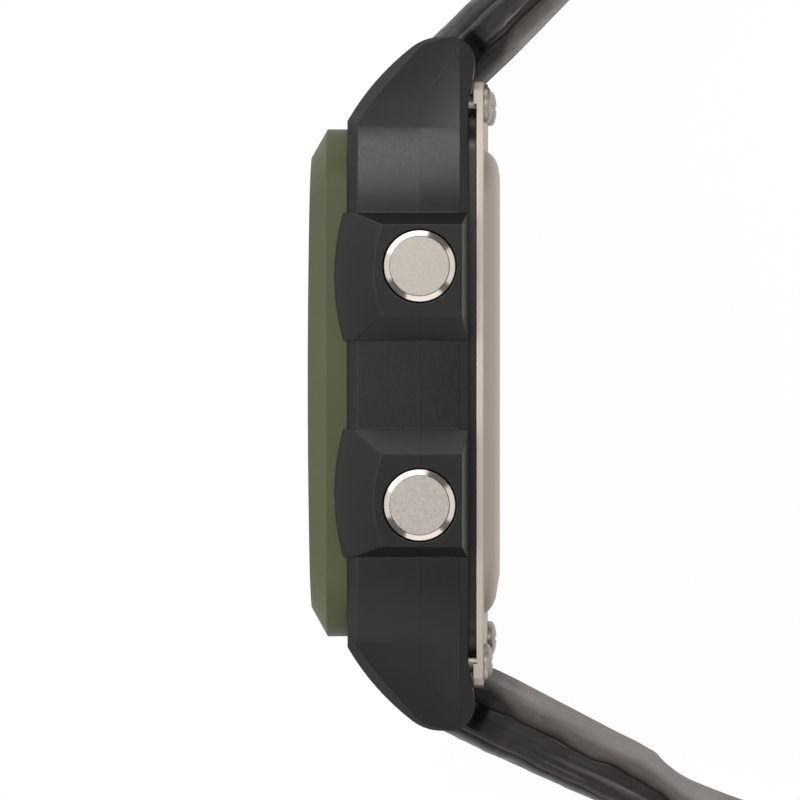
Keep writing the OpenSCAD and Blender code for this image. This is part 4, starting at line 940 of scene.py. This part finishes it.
def makeStrap(arm, label, body):
    stations = stationsFor(arm)
    top = strapLoft(label + "Leather", arm, stations, topSection(arm))
    under = strapLoft(label + "Lining", arm, stations, liningSection(arm))
    for piece, mat in ((top, outerLeather), (under, liningLeather)):
        applyCuts(piece, cuttersFor(arm))
        piece.data.materials.clear()
        piece.data.materials.append(mat)
        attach(piece, body)
    node = "strap_12" if arm is shortArm else "strap_6"
    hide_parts(node + "_top", node + "_pad")
    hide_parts(node + "_lining")
    stitches = makeStitches(label + "Stitches", arm, stitchSetup)
    stitches.data.materials.append(waxedThread)
    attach(stitches, body)


makeStrap(shortArm, "shortStrap", "strap_12")
makeStrap(longArm, "longStrap", "strap_6")
print("strap halves done")

keeperSetup = {
    "wide": 4.5, "leather": 1.1, "inHalf": 9.35, "round": 1.5, "corner": 0.32,
    "head": 2.8,  # room over the strap for its other half
    "wave": 0.03, "waveScale": (0.6, 0.05),  # ripples of the outer face, by place and by point
    "outerFace": -0.1,  # what lies above this, counted from the outer face, ripples
    "inset": 0.03, "thinner": 0.02, "narrow": 0.995,  # how much smaller than the plain solid it is
    "edgeGlow": (0.5, 0.1, 0.2), "lineDark": (0.5, 0.75, 0.12),  # shade, distance in from the edge, width
    "pointGap": 0.8,  # farthest apart that points lie round the loop
}
# piece: node, place along the short half, gap under the strap, body
keeperPlaces = {
    "fixedLoop": ("fixed_keeper", 67.5, 0.05, "strap_12"),
    "slidingLoop": ("sliding_keeper", 57.0, 0.15, "keeper"),
}


def roundCorners(halfA, halfB, radius, steps):
    # points and outward normals at the corners of a rounded rectangle
    a, b = halfA - radius, halfB - radius
    path = []
    for centreA, centreB, start in ((a, b, 0), (-a, b, 90), (-a, -b, 180), (a, -b, 270)):
        for i in range(steps + 1):
            turn = math.radians(start + 90 * i / steps)
            out = (math.cos(turn), math.sin(turn))
            path.append((centreA + radius * out[0], centreB + radius * out[1], *out))
    return path


def loopPath(halfX, halfN, radius, pointGap):
    # a rounded rectangle with points along its straight sides too
    path = roundCorners(halfX, halfN, radius, 8)
    full = []
    for i, (x, n, dx, dn) in enumerate(path):
        full.append((x, n, dx, dn))
        nextX, nextN, nextDx, nextDn = path[(i + 1) % len(path)]
        extra = int(math.hypot(nextX - x, nextN - n) / pointGap)
        for k in range(1, extra + 1):
            share = k / (extra + 1)
            full.append((x + (nextX - x) * share, n + (nextN - n) * share, nextDx, nextDn))
    return full


def makeKeeper(name, node, place, under, body, setup):
    low, high = -strapSetup["skin"] - under, strapSetup["skin"] + setup["head"]
    mid, halfN = (low + high) / 2, (high - low) / 2 + setup["leather"]
    path = loopPath(setup["inHalf"] + setup["leather"], halfN, setup["round"], setup["pointGap"])
    wide, thick = setup["wide"] / 2, setup["leather"]
    corners = roundCorners(wide, thick / 2, setup["corner"], 4)
    profile = [(corner[0], corner[1] - thick / 2) for corner in corners]
    glow, glowIn, glowWidth = setup["edgeGlow"]
    dark, darkIn, darkWidth = setup["lineDark"]
    scale, drift = setup["waveScale"]
    matrix = armTurn(shortArm, place)
    points, shades = [], []
    for k, (x, n, dx, dn) in enumerate(path):
        for y, t in profile:
            wave = setup["wave"] * noise.noise(Vector((x * scale + y, n * scale + place, k * drift)))
            lift = wave if t > setup["outerFace"] else 0.0
            t = max(t, setup["thinner"] - thick) + lift - setup["inset"]
            points.append(matrix @ (Vector((x + dx * t, y * setup["narrow"], mid + n + dn * t)) * milli))
            pale, line = bead(abs(y), wide - glowIn, glowWidth), bead(abs(y), wide - darkIn, darkWidth)
            shades.append(glow * pale - dark * line)
    piece = leatherPiece(name, points, shades, ringFaces(len(path), len(profile), True))
    piece.data.materials.append(outerLeather)
    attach(piece, body)
    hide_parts(node)


for name, (node, place, under, body) in keeperPlaces.items():
    makeKeeper(name, node, place, under, body, keeperSetup)
print("keepers done")

# pixels are the photograph's, as they lie on the near side of the case
cameraSetup = {
    "pixel": 0.066,  # row millimetres in a pixel
    "zeroX": -1.87,  # row X from which pixels across are counted: where the case's sides end
    "nearZ": 17.3,  # row Z of the near side
    "lensAcross": 97,  # lens centre, in pixels across
    "lensY": 13.35, "lensAbove": 524.0,  # and in row millimetres
    "aim": (-68, -15),  # pixels across and up to the middle of the picture
    "widthAtSide": 52.8, "sensor": 36.0,
}


def makeCamera(setup):
    pixel, zeroX, nearZ = setup["pixel"], setup["zeroX"], setup["nearZ"]
    aimAcross, aimUp = setup["aim"]
    lensX, lensZ = setup["lensAcross"] * pixel + zeroX, nearZ + setup["lensAbove"]
    place = Vector((lensX, setup["lensY"], lensZ)) * milli
    aim = Vector((aimAcross * pixel + zeroX, aimUp * pixel, nearZ)) * milli
    data = bpy.data.cameras.new("camera")
    data.sensor_width = setup["sensor"]
    data.lens = setup["sensor"] * (place - aim).length / (setup["widthAtSide"] * milli)
    data.clip_start, data.clip_end = 0.01, 20.0
    camera = linkPiece("camera", data)
    camera.location = place
    back = (place - aim).normalized()
    right = Vector((0, 1, 0)).cross(back).normalized()  # the row's +Y is up in the picture
    camera.rotation_euler = Matrix((right, back.cross(right), back)).transposed().to_euler()
    scene.camera = camera


makeCamera(cameraSetup)

stageSetup = {
    "drop": 0.01905, "size": 6.0,  # the floor: metres under the row's centre, and half its side
    "matte": 0.92, "glow": 0.97,  # its colour, and how white it is to the camera
    "worldLight": 0.2,
}


def makeFloor(setup):
    mesh = bpy.data.meshes.new("floor")
    s = setup["size"]
    mesh.from_pydata([(-s, -s, 0), (s, -s, 0), (s, s, 0), (-s, s, 0)], [], [(0, 1, 2, 3)])
    floor = linkPiece("floor", mesh)
    floor.location.z = -setup["drop"]
    mat = bpy.data.materials.new("floorWhite")
    mat.use_nodes = True
    tree = mat.node_tree
    tree.nodes.clear()
    out = addNode(tree, "OutputMaterial")
    mix = addNode(tree, "MixShader")
    matte = addNode(tree, "BsdfDiffuse", Color=opaque([setup["matte"]] * 3))
    glow = addNode(tree, "Emission", Color=(1, 1, 1, 1), Strength=1.0)
    rays = addNode(tree, "LightPath")
    seen = mathNode(tree, "MAXIMUM", rays.outputs["Is Camera Ray"], rays.outputs["Is Glossy Ray"])
    seen = mathNode(tree, "MAXIMUM", seen, rays.outputs["Is Transmission Ray"])
    tree.links.new(mathNode(tree, "MULTIPLY", seen, setup["glow"]), mix.inputs[0])
    tree.links.new(matte.outputs[0], mix.inputs[1])
    tree.links.new(glow.outputs[0], mix.inputs[2])
    tree.links.new(mix.outputs[0], out.inputs[0])
    mesh.materials.append(mat)


def makeWorld(setup):
    world = bpy.data.worlds.new("studio")
    scene.world = world
    world.use_nodes = True
    tree = world.node_tree
    tree.nodes.clear()
    out = addNode(tree, "OutputWorld")
    back = addNode(tree, "Background", Color=(1, 1, 1, 1))
    rays = addNode(tree, "LightPath")
    light = setup["worldLight"]
    strength = mathNode(tree, "MULTIPLY_ADD", rays.outputs["Is Camera Ray"], 1 - light, light)
    tree.links.new(strength, back.inputs["Strength"])
    tree.links.new(back.outputs[0], out.inputs[0])


# metres and watts, each lamp turned to the row's centre
lightSetup = (
    # name, direction, distance, size, power
    ("softboxAboveLens", (-0.05, 0.27, 1.0), 0.75, (0.5, 0.07), 2.4),
    ("softboxBelowLens", (-0.05, -0.4, 1.0), 0.75, (0.5, 0.2), 0.65),
    ("softboxLensLeft", (-0.6, 0.1, 0.85), 0.8, (0.7, 0.5), 2.8),
    ("softboxTop", (-0.45, 0.9, 0.12), 0.75, (1.2, 0.6), 6.0),
    ("softboxLeft", (-0.9, 0.1, 0.25), 0.8, (0.9, 0.5), 1.3),
    ("softboxRight", (0.9, 0.0, 0.35), 0.8, (0.9, 0.6), 1.6),
    ("softboxBelow", (0.1, -0.9, 0.45), 0.8, (0.9, 0.6), 2.2),
)


def makeLight(name, direction, distance, size, power):
    data = bpy.data.lights.new(name, "AREA")
    data.shape = "RECTANGLE"
    data.size, data.size_y = size
    data.energy = power
    light = linkPiece(name, data)
    way = Vector(direction).normalized()
    light.location = way * distance
    light.rotation_euler = way.to_track_quat("Z", "Y").to_euler()


makeFloor(stageSetup)
makeWorld(stageSetup)
for name, direction, distance, size, power in lightSetup:
    makeLight(name, direction, distance, size, power)
scene.view_settings.view_transform = "Standard"
print("stage done")
